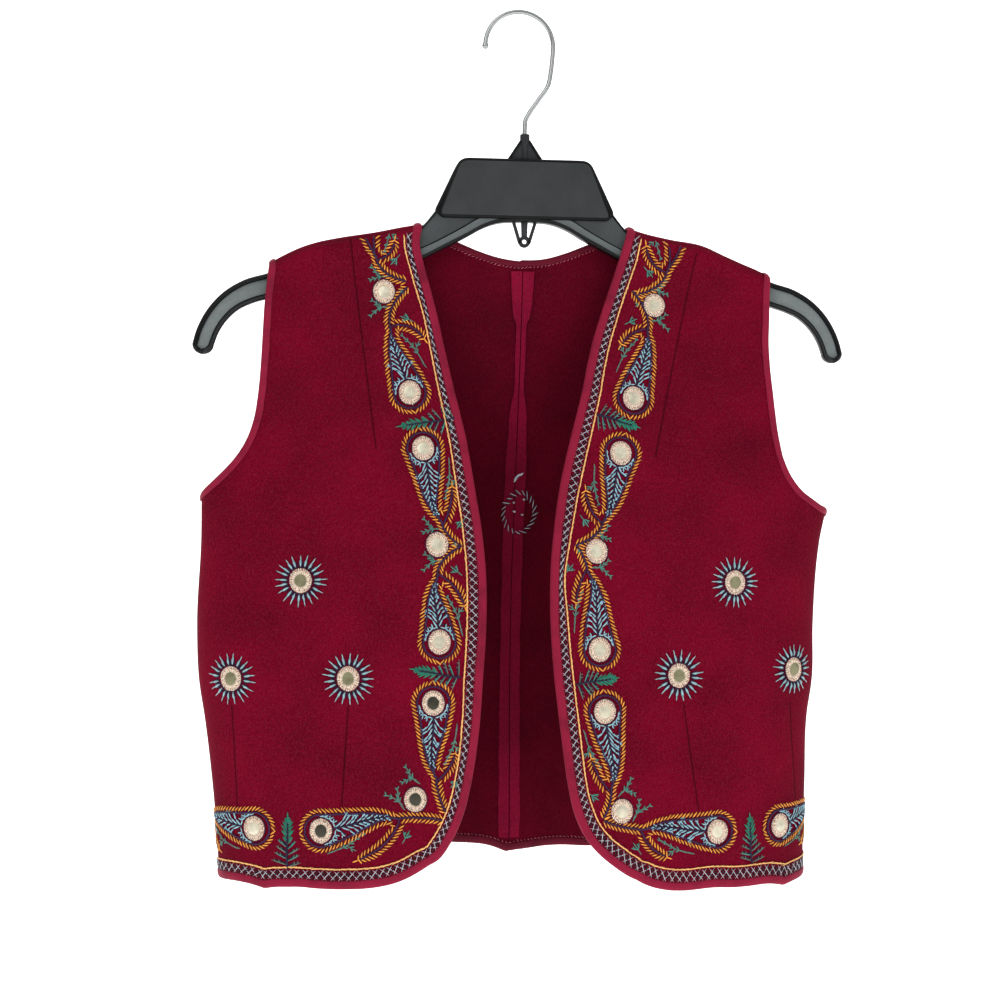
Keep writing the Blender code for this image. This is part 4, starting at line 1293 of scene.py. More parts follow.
@dataclass
class Stitchwork:
    """Stitches on one face of the cloth, gathered in chart places and then made as one piece."""

    chart: Chart
    seed: int
    wrong_side: bool = False
    ends: list[Array] = field(default_factory=list)
    sizes: list[Array] = field(default_factory=list)
    tones: list[Array] = field(default_factory=list)

    def __post_init__(self) -> None:
        """Sets the seed of all unevenness."""
        self.rng = np.random.default_rng(self.seed)

    def add(
        self, starts: Array, stops: Array, thread: Thread, width: float, lift: float = 0.0, high: float = 0.7
    ) -> None:
        """Adds straight stitches.

        Args:
            starts: chart places where the stitches start.
            stops: chart places where they stop.
            thread: the thread.
            width: its width, in millimetres.
            lift: how far off the cloth the underside is.
            high: the thread's height as a share of its width.
        """
        starts, stops = np.atleast_2d(np.asarray(starts, float)), np.atleast_2d(np.asarray(stops, float))
        count = len(starts)
        shake = self.rng.normal(0, 0.09, (2, count, 2))
        self.ends.append(np.stack([starts + shake[0], stops + shake[1]], axis=1))
        scale = 1 + 0.08 * self.rng.uniform(-1, 1, (count, 1))
        scales = np.concatenate([scale, scale, np.ones((count, 1))], axis=1)
        self.sizes.append(np.array([[width, width * high, lift]]) * scales)
        self.tones.append(thread.tones(count, self.rng))

    def spread(self, line: Array, pitch: float, offset: float = 0.5) -> tuple[Array, Array, Array]:
        """Places along a line, with the line's direction and its left-hand normal there.

        Args:
            line: the line.
            pitch: about how far apart the places are.
            offset: where the first is, in pitches.

        Returns:
            The places, directions and normals.
        """
        run = length_along(line)
        count = max(1, round(run[-1] / pitch))
        at = (np.arange(count) + offset) * run[-1] / count
        at = at[at <= run[-1]]
        before, place, after = (
            np.stack([np.interp(at + off, run, line[:, k]) for k in (0, 1)], axis=-1) for off in (-0.4, 0.0, 0.4)
        )
        ahead = unit(after - before)
        return place, ahead, left_of(ahead)

    def slanted(self, line: Array, hand: int, pitch: float = 2.5, length: float = 3.9) -> None:
        """A row of slanted stitches, each bright one beside a dark one, which is partly a second thread and partly
        painted shadow between the stitches.

        Args:
            line: the row's middle, in the order in which it was worked.
            hand: +1 where the stitches' outer ends are on the line's left, -1 on its right.
            pitch: distance from one bright stitch to the next.
            length: length of a stitch.
        """
        slant = math.radians(44)
        # The dark rust row between the bright stitches is partly painted shadow in their gaps.
        rows = ((Threads.RUST, 0.0, 0.85, 0.0, 0.96), (Threads.ORANGE, 0.5, 0.85, 0.1, 1.0))
        for thread, offset, width, lift, share in rows:
            place, ahead, left = self.spread(line, pitch, offset)
            turn = self.rng.normal(0, 0.07, (len(place), 1))
            way = np.cos(slant + turn) * ahead + np.sin(slant + turn) * hand * left
            half = 0.5 * length * share * (1 + 0.08 * self.rng.normal(0, 1, (len(place), 1)))
            self.add(place - half * way, place + half * way, thread, width, lift)

    def stem(self, line: Array, thread: Thread, width: float, pitch: float = 2.7, lift: float = 0.0) -> None:
        """A line of stem stitch, each stitch beside the last one's end.

        Args:
            line: the line.
            thread: the thread.
            width: its width.
            pitch: the length of line that a stitch covers.
            lift: how far off the cloth the underside is.
        """
        place, ahead, left = self.spread(line, pitch)
        way = ahead + 0.14 * left
        self.add(place - 0.72 * pitch * way, place + 0.72 * pitch * way, thread, width, lift)

    def herringbone(self, inner: Array, outer: Array, pitch: float = 5.0) -> None:
        """Pale crossed stitches over a dark second round, which is partly painted shadow, between two lines side by
        side.

        Args:
            inner: the line beside the gold one.
            outer: the line beside the binding.
            pitch: how far apart the crossings are.
        """
        run = length_along(outer)
        count = round(run[-1] / pitch)

        def at(line: Array, share: Array) -> Array:
            """Places at shares of the outer line's length."""
            return np.stack([np.interp(np.clip(share, 0, 1) * run[-1], run, line[:, k]) for k in (0, 1)], axis=-1)

        corners = ((outer, -0.2), (inner, 0.8), (inner, 0.2), (outer, 1.2))
        # The dark round under the pale one is partly painted shadow between the crossings.
        for thread, shift, width, lift in ((Threads.GROUND, 0.5, 0.75, 0.0), (Threads.PALE, 0.0, 0.52, 0.2)):
            uneven = self.rng.normal(0, 0.045, (4, count))
            start = np.arange(count) + shift
            ends = [at(line, (start + ahead + off) / count) for (line, ahead), off in zip(corners, uneven)]
            self.add(ends[0], ends[1], thread, width, lift)
            self.add(ends[2], ends[3], thread, width, lift + 0.25)

    def fork(self, root: Place, tip: Place, spread: float, prongs: int) -> None:
        """A small sprig: a stem that ends in prongs.

        Args:
            root: where it starts.
            tip: the place that it points at.
            spread: the angle of its outer prongs.
            prongs: their number.
        """
        root, tip = np.array(root, float), np.array(tip, float)
        way = tip - root
        size = float(np.linalg.norm(way))
        knee = root + 0.42 * way
        self.add(root, knee + 0.1 * way, Threads.MOSS, 0.8)
        for angle in np.linspace(-spread, spread, prongs):
            turn = np.array([[math.cos(angle), -math.sin(angle)], [math.sin(angle), math.cos(angle)]])
            end = knee + turn @ way * (0.62 if angle == 0 else 0.5)
            self.add(knee, end, Threads.TEAL, 0.95, 0.15)
            if size > 7 and angle:
                middle = 0.5 * (knee + end)
                self.add(middle, middle + 0.22 * way, Threads.TEAL, 0.75, 0.2)

    def twig(self, points: list[Place] | Array, barbs: int = 3) -> None:
        """A little fern: a thread with barbs on its far half.

        Args:
            points: a few places along it.
            barbs: the number of pairs of barbs.
        """
        line = curve(points)
        self.stem(line, Threads.MOSS, 0.85, 3.0)
        place, ahead, left = self.spread(line, 1.0)
        far = np.linspace(0.42 * len(place), len(place) - 1, barbs).astype(int)
        for k, at in enumerate(far):
            for hand in (1, -1):
                root = place[at] - 0.6 * (hand > 0) * ahead[at]
                size = 3.1 - 0.45 * k
                self.add(root, root + size * (0.8 * ahead[at] + 0.6 * hand * left[at]), Threads.TEAL, 0.8, 0.15)

    def leaf_sprig(self, root: Place, tip: Place) -> None:
        """A stem from the gold line with pairs of branches, and a leaf at its end.

        Args:
            root: its foot.
            tip: the place that its leaf points at.
        """
        root, tip = np.array(root, float), np.array(tip, float)
        way, length = unit(tip - root), float(np.linalg.norm(tip - root))
        left = left_of(way)
        spine = curve([root, root + 0.3 * length * way + 0.6 * left, root + 0.6 * length * way])
        self.stem(spine, Threads.NAVY, 1.3, 2.6)
        for k, share in enumerate((0.03, 0.14, 0.25, 0.36, 0.46)):
            for hand in (1, -1):
                foot = root + (share * length + 1.0 * (hand > 0)) * way
                size = (9.6, 9.4, 8.6, 7.0, 5.4)[k] * (1 + 0.1 * self.rng.normal())
                angle = math.radians((74, 66, 60, 54, 48)[k] + 4 * self.rng.normal())
                branch = math.cos(angle) * way + math.sin(angle) * hand * left
                thread = Threads.MOSS if k % 2 == 0 else Threads.TEAL
                self.add(foot, foot + size * branch, thread, 0.85, 0.1)
                self.add(foot + 0.7 * way, foot + 0.75 * size * branch + 1.5 * way, Threads.NAVY, 0.7)
                for at in (0.5, 0.78):
                    knee = foot + at * size * branch
                    self.add(knee, knee + (2.5 - at) * (0.92 * way + 0.3 * hand * left), thread, 0.65, 0.15)
        for k, share in enumerate(np.linspace(0.5, 0.88, 5)):
            for hand in (1, -1):
                foot = root + share * length * way
                size = (4.0, 5.4, 5.4, 4.3, 2.9)[k] * (1 + 0.1 * self.rng.normal())
                stroke = size * (0.74 * way + 0.68 * hand * left)
                self.add(foot + 0.4 * hand * left, foot + stroke, Threads.GREEN, 1.2, 0.15)
                self.add(foot + 1.3 * way, foot + 1.2 * way + 0.7 * stroke, Threads.TEAL, 0.8, 0.05)
        self.stem(np.array([root + 0.55 * length * way, root + 0.85 * length * way]), Threads.NAVY, 0.9, 2.6, 0.2)
        self.add(root + 0.85 * length * way, root + 1.06 * length * way, Threads.GREEN, 1.2, 0.2)

    def star(self, centre: Place, rays: int, turn: float) -> None:
        """A mirror's rays: detached chain stitches with long tails.

        Args:
            centre: the mirror's middle.
            rays: their number.
            turn: the first one's angle.
        """
        centre = np.array(centre, float)
        angle = turn + turns(rays) + self.rng.normal(0, 0.02, rays)
        out = on_circle(angle)
        side = left_of(out)
        reach = (16.2 + self.rng.normal(0, 0.35, rays))[:, None]
        loop = (
            ((8.2, 0.5), (10.9, 1.15), Threads.NAVY, 0.95, 0.0), ((10.3, 1.15), (13.3, 0.2), Threads.NAVY, 0.9, 0.0),
            ((8.9, 0.0), (12.9, 0.3), Threads.RAY, 0.95, 0.3),
        )
        for hand in (1, -1):
            for ends, thread, width, lift in ((row[:2], *row[2:]) for row in loop):
                self.add(*(centre + far * out + off * hand * side for far, off in ends), thread, width, lift)
        self.add(centre + 9.3 * out, centre + 12.2 * out, Threads.RAY, 1.3, 0.45)
        self.add(centre + 12.2 * out, centre + reach * out, Threads.RAY, 0.72, 0.25)

    def ring(self, centre: Place, inner: float = 4.2, outer: float = 7.7, squeeze: float = 0.9) -> None:
        """The stitched ring that holds a mirror: a padded bed, two courses of spokes and a scalloped rim.

        Args:
            centre: the mirror's middle.
            inner: the ring's inner radius, upright.
            outer: its outer radius, upright.
            squeeze: its width as a share of its height.
        """
        centre = np.array(centre, float)
        shape = np.array([squeeze, 1.0])

        def round_at(angle: Array, reach: Array | float) -> Array:
            """Places on the ring."""
            return centre + shape * np.reshape(reach, (-1, 1)) * on_circle(angle)

        middle = (inner + outer) / 2
        bed = turns(20)
        self.add(round_at(bed - 0.28, middle), round_at(bed + 0.28, middle), Threads.CREAM, 3.2, -0.1, 0.36)
        courses = (
            (34, inner - 0.2, middle + 0.5, 0.06, Threads.CREAM, 0.8, 0.75),
            (36, middle - 0.3, outer - 0.1, -0.05, Threads.CREAM, 0.85, 0.6),
            (19, inner + 0.2, inner + 1.1, 0.1, Threads.PINK, 0.6, 1.05),
            (27, outer - 1.7, outer - 0.5, 0.12, Threads.BUTTON, 0.45, 0.95),
            (17, outer - 1.9, outer - 0.9, 0.1, Threads.PINK, 0.6, 1.0),
            (12, middle - 0.4, middle + 0.4, 0.12, Threads.BUTTON, 0.36, 1.1),
        )
        for count, near, far, lean, thread, width, lift in courses:
            angle = turns(count) + self.rng.uniform(0, 6)
            reach = far * (1 + 0.025 * self.rng.normal(0, 1, count))
            self.add(round_at(angle, near), round_at(angle + lean, reach), thread, width, lift)
        rim = turns(24)
        self.add(round_at(rim, outer + 0.25), round_at(rim + 0.30, outer + 0.35), Threads.NAVY, 1.1, 0.0)
        self.add(round_at(rim, outer - 0.25), round_at(rim + 0.30, outer - 0.05), Threads.PINK, 0.85, 0.25)

    def marks(self, wall: float) -> tuple[Array, Array, Array, Array, Array]:
        """Works out where every stitch lies on the cloth.

        Args:
            wall: the cloth's thickness.

        Returns:
            Middles, directions, normals, sizes and colours, leaving out stitches past a side seam.
        """
        ends, sizes, tones = (np.concatenate(found) for found in (self.ends, self.sizes, self.tones))
        first, out, on_first = self.chart.on_cloth(ends[:, 0])
        last, out_last, on_last = self.chart.on_cloth(ends[:, 1])
        kept = on_first & on_last
        out = unit(out + out_last) * (-1 if self.wrong_side else 1)
        # A stitch's underside sinks a little into the nap.
        rise = wall / 2 + sizes[:, 2] + 0.35 * sizes[:, 1]
        middle = (first + last) / 2 + rise[:, None] * out
        along = last - first
        length = np.linalg.norm(along, axis=1)
        size = np.stack([length, sizes[:, 0], sizes[:, 1]], axis=-1)
        return middle[kept], unit(along)[kept], out[kept], size[kept], tones[kept]


@dataclass
class StitchTree:
    """The Geometry Nodes tree that puts a thread on every mark."""

    finish: Material
    sizes: dict = field(default_factory=lambda: {"Steps": 4, "Sides": 5, "Arch": 0.35, "End share": 0.22})
    name: str = "stitches_on_marks"

    def build(self) -> NodeTree:
        """Makes the tree: one arched, tapered thread, turned and scaled at each point.

        Returns:
            The tree.
        """
        tree = bpy.data.node_groups.new(self.name, "GeometryNodeTree")
        node, face = partial(add_node, tree), tree.interface
        for name, kind, way in (
            ("Geometry", "Geometry", "INPUT"),
            *((name, "Int" if isinstance(value, int) else "Float", "INPUT") for name, value in self.sizes.items()),
            ("Finish", "Material", "INPUT"), ("Geometry", "Geometry", "OUTPUT"),
        ):
            socket = face.new_socket(name, in_out=way, socket_type=f"NodeSocket{kind}")
            if name in self.sizes:
                socket.default_value = self.sizes[name]
        given = tree.nodes.new("NodeGroupInput").outputs
        line = node("GeometryNodeCurvePrimitiveLine", {"Start": (-0.5, 0.0, 0.0), "End": (0.5, 0.0, 0.0)})
        fine = node("GeometryNodeResampleCurve", {"Curve": line, "Count": given["Steps"]})
        run = node("GeometryNodeSplineParameter").outputs["Factor"]
        off = node("ShaderNodeMath", {0: run, 1: 2.0, 2: -1.0}, operation="MULTIPLY_ADD")
        off = node("ShaderNodeMath", {0: off}, operation="ABSOLUTE")
        cubed = node("ShaderNodeMath", {0: off, 1: 3.0}, operation="POWER")
        full = node("ShaderNodeMath", {0: 1.0, 1: cubed}, operation="SUBTRACT")
        full = node("ShaderNodeMath", {0: full}, operation="SQRT")
        radius = node("ShaderNodeMapRange", {"Value": full, "To Min": given["End share"]})
        half = node("ShaderNodeMath", {0: radius, 1: 0.5}, operation="MULTIPLY")
        squared = node("ShaderNodeMath", {0: off, 1: 2.0}, operation="POWER")
        arch = node("ShaderNodeMath", {0: 1.0, 1: squared}, operation="SUBTRACT")
        arch = node("ShaderNodeMath", {0: arch, 1: given["Arch"]}, operation="MULTIPLY")
        move = node("ShaderNodeCombineXYZ", {"Z": arch})
        arched = node("GeometryNodeSetPosition", {"Geometry": fine, "Offset": move})
        sized = node("GeometryNodeSetCurveRadius", {"Curve": arched, "Radius": half})
        section = node("GeometryNodeCurvePrimitiveCircle", {"Resolution": given["Sides"], "Radius": 1.0})
        tube_inputs = {"Curve": sized, "Profile Curve": section, "Fill Caps": True}
        tube = node("GeometryNodeCurveToMesh", tube_inputs)
        if "Scale" in tube.inputs:
            feed(tube, {"Scale": half})
        smooth_tube = node("GeometryNodeSetShadeSmooth", {"Geometry": tube})
        named = {}
        for name in ("along", "up", "size"):
            found = node("GeometryNodeInputNamedAttribute", {"Name": name}, data_type="FLOAT_VECTOR")
            named[name] = found.outputs["Attribute"]
        turn = node("FunctionNodeAlignRotationToVector", {"Vector": named["along"]}, axis="X")
        turn = node(
            "FunctionNodeAlignRotationToVector", {"Rotation": turn, "Vector": named["up"]}, axis="Z", pivot_axis="X"
        )
        placed = node(
            "GeometryNodeInstanceOnPoints",
            {"Points": given["Geometry"], "Instance": smooth_tube, "Rotation": turn, "Scale": named["size"]},
        )
        real = node("GeometryNodeRealizeInstances", {"Geometry": placed})
        done = node("GeometryNodeSetMaterial", {"Geometry": real, "Material": given["Finish"]})
        node("NodeGroupOutput", {0: done})
        return tree

    def sew(self, name: str, work: Stitchwork, wall: float) -> Object:
        """Makes the stitches of a piece.

        Args:
            name: the piece's name.
            work: its stitches.
            wall: the cloth's thickness.

        Returns:
            The piece, as a plain mesh.
        """
        middle, along, out, size, tones = work.marks(wall)
        mesh = bpy.data.meshes.new(f"{name}_marks")
        mesh.from_pydata((middle * MM).tolist(), [], [])
        for label, values in (("along", along), ("up", out), ("size", size * MM)):
            give(mesh, label, values, "FLOAT_VECTOR")
        give(mesh, "thread_colour", tones, "FLOAT_COLOR")
        marks = bpy.data.objects.new(f"{name}_marks", mesh)
        bpy.context.scene.collection.objects.link(marks)
        modifier = marks.modifiers.new("stitches", "NODES")
        modifier.node_group = self.tree()
        items = modifier.node_group.interface.items_tree
        sockets = {item.name: item.identifier for item in items if item.in_out == "INPUT"}
        for label, value in {**self.sizes, "Finish": self.finish}.items():
            modifier[sockets[label]] = value
        bpy.context.view_layer.update()
        graph = bpy.context.evaluated_depsgraph_get()
        made = bpy.data.meshes.new_from_object(marks.evaluated_get(graph), depsgraph=graph)
        bpy.data.objects.remove(marks)
        made.name = name
        LOG.info("%s: %d stitches, %d faces", name, len(middle), len(made.polygons))
        return new_object(name, made, self.finish)

    def tree(self) -> NodeTree:
        """The tree, made once."""
        return bpy.data.node_groups.get(self.name) or self.build()


@dataclass
class Paisley:
    """A teardrop round a mirror, whose neck runs on as a tail and sends a small leaf back beside it."""

    head: Place
    neck: Place
    tail: Place
    leaf: Place
    radius: float = 12.6
    feathered: bool = True
    narrow: float = 0.12

    def __post_init__(self) -> None:
        """Sets up the motif's own axes, and how far its leaf swings out and its teardrop bulges."""
        self.origin = np.array(self.head, float)
        way = np.array(self.neck, float) - self.origin
        self.length = float(np.linalg.norm(way))
        self.axis = way / self.length
        side = left_of(self.axis)
        leaf = np.array(self.leaf, float) - np.array(self.neck, float)
        self.hand = 1 if float(leaf @ side) > 0 else -1
        self.side = self.hand * side
        tip = np.array(self.leaf, float) - self.origin
        self.leaf_tip = float(tip @ self.axis), float(tip @ self.side)
        slope = self.leaf_tip[1] / max(self.length - self.leaf_tip[0], 1.0)
        self.swing = min(max((slope - 0.58) / 0.92, 0.0), 1.0)

    def place(self, along: float | Array, off: float | Array) -> Array:
        """Chart places from distances along the axis and towards the leaf."""
        along, off = np.broadcast_arrays(np.asarray(along, float), np.asarray(off, float))
        return self.origin + along[..., None] * self.axis + off[..., None] * self.side

    def width(self, share: Array) -> Array:
        """Half width of the teardrop from its head to its neck."""
        share = np.clip(share, 0, 1)
        return self.radius * (1 - 0.6 * share - (0.4 - self.narrow) * share**2)

    def middle(self, share: Array) -> Array:
        """How far the teardrop's middle line bulges to the side away from the leaf."""
        return (1.5 * self.swing - 3.0) * np.sin(math.pi * np.clip(share, 0, 1) ** 2.2)

    def inside(self, along: float | Array, off: float | Array) -> Array:
        """Chart places from distances along the teardrop's middle line and towards the leaf."""
        along = np.asarray(along, float)
        return self.place(along, off + self.middle(along / self.length))

    def half_outline(self, sign: int, inset: float, stop: float = 1.0) -> Array:
        """One side of the teardrop, from the end of its head towards the neck.

        Args:
            sign: +1 for the leaf's side and -1 for the other.
            inset: how far inside the outline.
            stop: the share of the length where it ends.

        Returns:
            The line's chart places.
        """
        angle = np.linspace(math.pi, math.pi / 2, 14)[:-1]
        radius = self.radius - inset
        round_head = self.place(radius * np.cos(angle), sign * radius * np.sin(angle))
        share = np.linspace(0, stop, 26)
        side = self.inside(share * self.length, sign * (self.width(share) - inset).clip(0.2))
        return np.concatenate([round_head, side])

    def tail_line(self, off: float) -> Array:
        """A line beside the tail, from the neck on.

        Args:
            off: how far towards the leaf's side.

        Returns:
            The line's chart places.
        """
        tail = np.array(self.tail, float)
        start = self.place(self.length, 0.0)
        reach = float(np.linalg.norm(tail - start))
        line = bend(start, start + 0.45 * reach * self.axis, tail, 14)
        return line + off * self.hand * left_of(unit(np.gradient(line, axis=0)))

    def leaf_spine(self) -> Array:
        """The leaf's stem, from the tail round the neck's turn to the leaf's tip."""
        control = self.place(self.length + 1.0 - 9.0 * (1 - self.swing), 0.76 * self.leaf_tip[1])
        return curve(bend(self.place(self.length + 1.0, 1.0), control, self.place(*self.leaf_tip), 16))

    def beside(self, line: Array, off: float) -> Array:
        """A line at a distance to the leaf's outer side of another, which closes in at its end.

        Args:
            line: the line.
            off: how far to its side.

        Returns:
            The line beside it.
        """
        share = np.linspace(0, 1, len(line))[:, None]
        fade = np.where(share > 0.6, np.sqrt(np.clip(1 - ((share - 0.6) / 0.42) ** 2, 0, 1)), 1.0)
        return line + off * fade * self.hand * left_of(unit(np.gradient(line, axis=0)))

    def work(self, sheet: Stitchwork) -> None:
        """Stitches the motif.

        Args:
            sheet: the stitches of the face that it is on.
        """
        hand, spine = self.hand, self.leaf_spine()
        far = np.concatenate([self.half_outline(-1, 0.0, 0.97), self.tail_line(-2.0)])
        leaf_inner, leaf_outer = self.beside(spine, 2.6), self.beside(spine, -2.6)
        clear = (leaf_inner - self.origin) @ self.side > 5.6
        start = int(np.argmax(clear)) if clear.any() else len(clear) // 2
        near = self.half_outline(1, 0.0, (self.length - 7.5) / self.length)
        first, last = near[-1], leaf_inner[start]
        middle = (first + last) / 2
        radius = float(np.linalg.norm(last - first)) / 2
        angle = np.linspace(0, math.pi, 9)[1:-1, None]
        across = unit((last - first)[None])
        turn = middle - np.cos(angle) * radius * across + np.sin(angle) * radius * self.axis
        near = np.concatenate([near, turn, leaf_inner[start:]])
        sheet.slanted(far, hand)
        sheet.slanted(near, -hand)
        sheet.slanted(leaf_outer[3:], hand)
        sheet.slanted(self.tail_line(2.0)[1:], -hand)
        tip, ahead = spine[-1], unit(spine[-1] - spine[-4])
        sheet.add(tip - 0.3 * ahead, tip + 3.4 * ahead, Threads.ORANGE, 0.9, 0.1)
        for sign in (1, -1):
            sheet.stem(self.half_outline(sign, 2.5), Threads.PURPLE, 1.35)
        sheet.stem(self.tail_line(0.0), Threads.PURPLE, 1.35)
        sheet.stem(spine[:-3], Threads.PURPLE, 1.2)
        if self.feathered:
            self.feather(sheet)

    def feather(self, sheet: Stitchwork) -> None:
        """The feather inside the teardrop, from the mirror's edge to the neck.

        Args:
            sheet: the stitches of the face that it is on.
        """
        edge = 8.2
        stem = self.inside(np.linspace(edge, self.length - 3, 12), 0.4 * np.sin(np.linspace(0, 3, 12)))
        sheet.stem(stem, Threads.NAVY, 1.2, 2.6)
        for foot in np.arange(edge + 1.0, self.length - 6.5, 3.5):
            for sign in (1, -1):
                room = float(self.width(np.array([min(1.0, (foot + 4.0) / self.length)]))[0]) - 3.4
                reach = min(6.6, max(1.2, room)) * (1 + 0.14 * sheet.rng.uniform(-1, 1))
                foot_at = foot + 0.8 * (sign > 0) + 0.3 * sheet.rng.normal()
                forward = (0.95 + 0.18 * sheet.rng.normal()) * reach + 1.4
                start, stop = self.inside(foot_at, sign * 0.6), self.inside(foot_at + forward, sign * (0.6 + reach))
                knee = 0.5 * (start + stop) + 0.1 * reach * (self.axis - sign * self.side)
                sheet.add(start, knee, Threads.SKY, 1.05, 0.2)
                sheet.add(knee, stop, Threads.SKY, 1.0, 0.2)
                # A navy stitch beside each pale barb: partly navy thread, partly painted shadow.
                sheet.add(start + 1.7 * self.axis, stop + 1.2 * self.axis - sign * 0.4 * self.side, Threads.NAVY, 0.85)
                if reach > 2.2:
                    back = stop - 1.5 * self.axis - sign * 0.9 * self.side
                    sheet.add(back, back - 0.2 * self.axis + sign * 1.5 * self.side, Threads.SKY, 0.7, 0.25)
                    sheet.add(back, back + 1.9 * self.axis + sign * 0.2 * self.side, Threads.SKY, 0.7, 0.25)
        sheet.add(self.inside(self.length - 7.5, 0.1), self.inside(self.length - 3.2, -0.2), Threads.SKY, 0.95, 0.2)
        for sign in (1, -1):
            # Sprays with long prongs curl back round the mirror.
            angle = np.radians([6.0, 26.0, 46.0, 66.0, 84.0])
            ring, tips, barbs = (
                self.place(9.3 * np.cos(angle) + along, sign * (9.0 * np.sin(angle) + off))
                for along, off in ((0.0, 0.0), (2.9, 0.8), (1.0, 2.3))
            )
            sheet.add(ring[:-1], ring[1:], Threads.SKY, 0.95, 0.2)
            sheet.add(ring[1:], tips[1:], Threads.SKY, 0.85, 0.2)
            sheet.add(ring[1:-1], barbs[1:-1], Threads.SKY, 0.75, 0.2)
            # Navy stitches beside the sprays: partly navy thread, partly painted shadow.
            sheet.add(ring[:-1] + 1.6 * self.axis, tips[1:] - 0.6 * self.axis, Threads.NAVY, 0.75)


@dataclass
class Embroidery:
    """The embroidery of one front, in chart places of that side."""

    side: Side
    mirrors: tuple[Place, ...]
    paisleys: tuple[Paisley, ...]
    leaf_sprigs: tuple[tuple[Place, Place], ...]
    dark: tuple[int, ...]
    # The numbers of the mirrors with rays, of those with sprays, and of the one whose sprays all point outwards.
    stars: tuple[int, ...] = (7, 8, 9)
    bare: tuple[int, ...] = (0, 3, 6)
    lowest: int = 6
    # A spray's start, knee and tips, outwards and upwards from its mirror's middle.
    sprays: tuple = (
        ((-3, 10.2), (1.6, 9.8), (8.2, 16.2), (8.8, 7.6)), ((-3.4, -10.2), (1.2, -10.2), (7.8, -5.8), (8.8, -16)),
    )
    low_sprays: tuple = (
        ((-2.2, 9.9), (1.4, 13), (6.2, 20.5), (8.4, 10.6)), ((7.2, -6.1), (9.6, -2), (11.4, 6.8), (18.6, 3)),
    )
    # A paisley's twigs with their barbs, along its axis from its neck and towards its leaf, and its fork.
    leaf_twigs: tuple = (
        (((-37, 14.6), (-24.6, 11.6), (-13, 5.8)), 4), (((-24.6, 11.6), (-22, 13.6), (-19.8, 15.6)), 1),
    )
    tail_fork: tuple = ((0.2, 15.8), (5.8, 8.8))

    def work(self, sheet: Stitchwork, outer: Array, inner: Array, gold: Array) -> None:
        """Stitches everything but the rings.

        Args:
            sheet: the stitches of this front.
            outer: the herringbone's line beside the binding.
            inner: its line beside the gold one.
            gold: the line of gold stem stitch.
        """
        out = int(self.side)
        sheet.herringbone(inner, outer)
        sheet.stem(gold, Threads.RUST, 1.05, 3.4, -0.1)
        sheet.stem(gold, Threads.GOLD, 0.9, 3.4, 0.25)
        for paisley in self.paisleys:
            paisley.work(sheet)
            self.twigs(paisley, sheet)
        for root, tip in self.leaf_sprigs:
            sheet.leaf_sprig(root, tip)
        for index in self.stars:
            sheet.star(self.mirrors[index], 20 + index % 2, 0.1 * index)
        for index in self.bare:
            a, z = self.mirrors[index]
            if index != self.lowest:
                sheet.fork((a - out * 8.6, z), (a - out * 13.4, z + 0.4), 0.5, 2)
            for start, knee, *tips in self.low_sprays if index == self.lowest else self.sprays:
                for tip in tips:
                    sheet.twig([(a + out * x, z + y) for x, y in (start, knee, tip)])

    def twigs(self, paisley: Paisley, sheet: Stitchwork) -> None:
        """Stitches the thin sprig between a paisley's leaf and its teardrop, and the one by its tail.

        Args:
            paisley: the paisley.
            sheet: the stitches of this front.
        """
        tip = (np.array(paisley.leaf, float) - paisley.origin) @ paisley.axis
        shift = tip - (paisley.length - 19.5)
        for line, barbs in self.leaf_twigs:
            sheet.twig([paisley.place(paisley.length + along + shift, off) for along, off in line], barbs)
        root, end = (paisley.place(paisley.length + along, off) for along, off in self.tail_fork)
        sheet.fork(root, end, 0.7, 3)


# ---- the garment


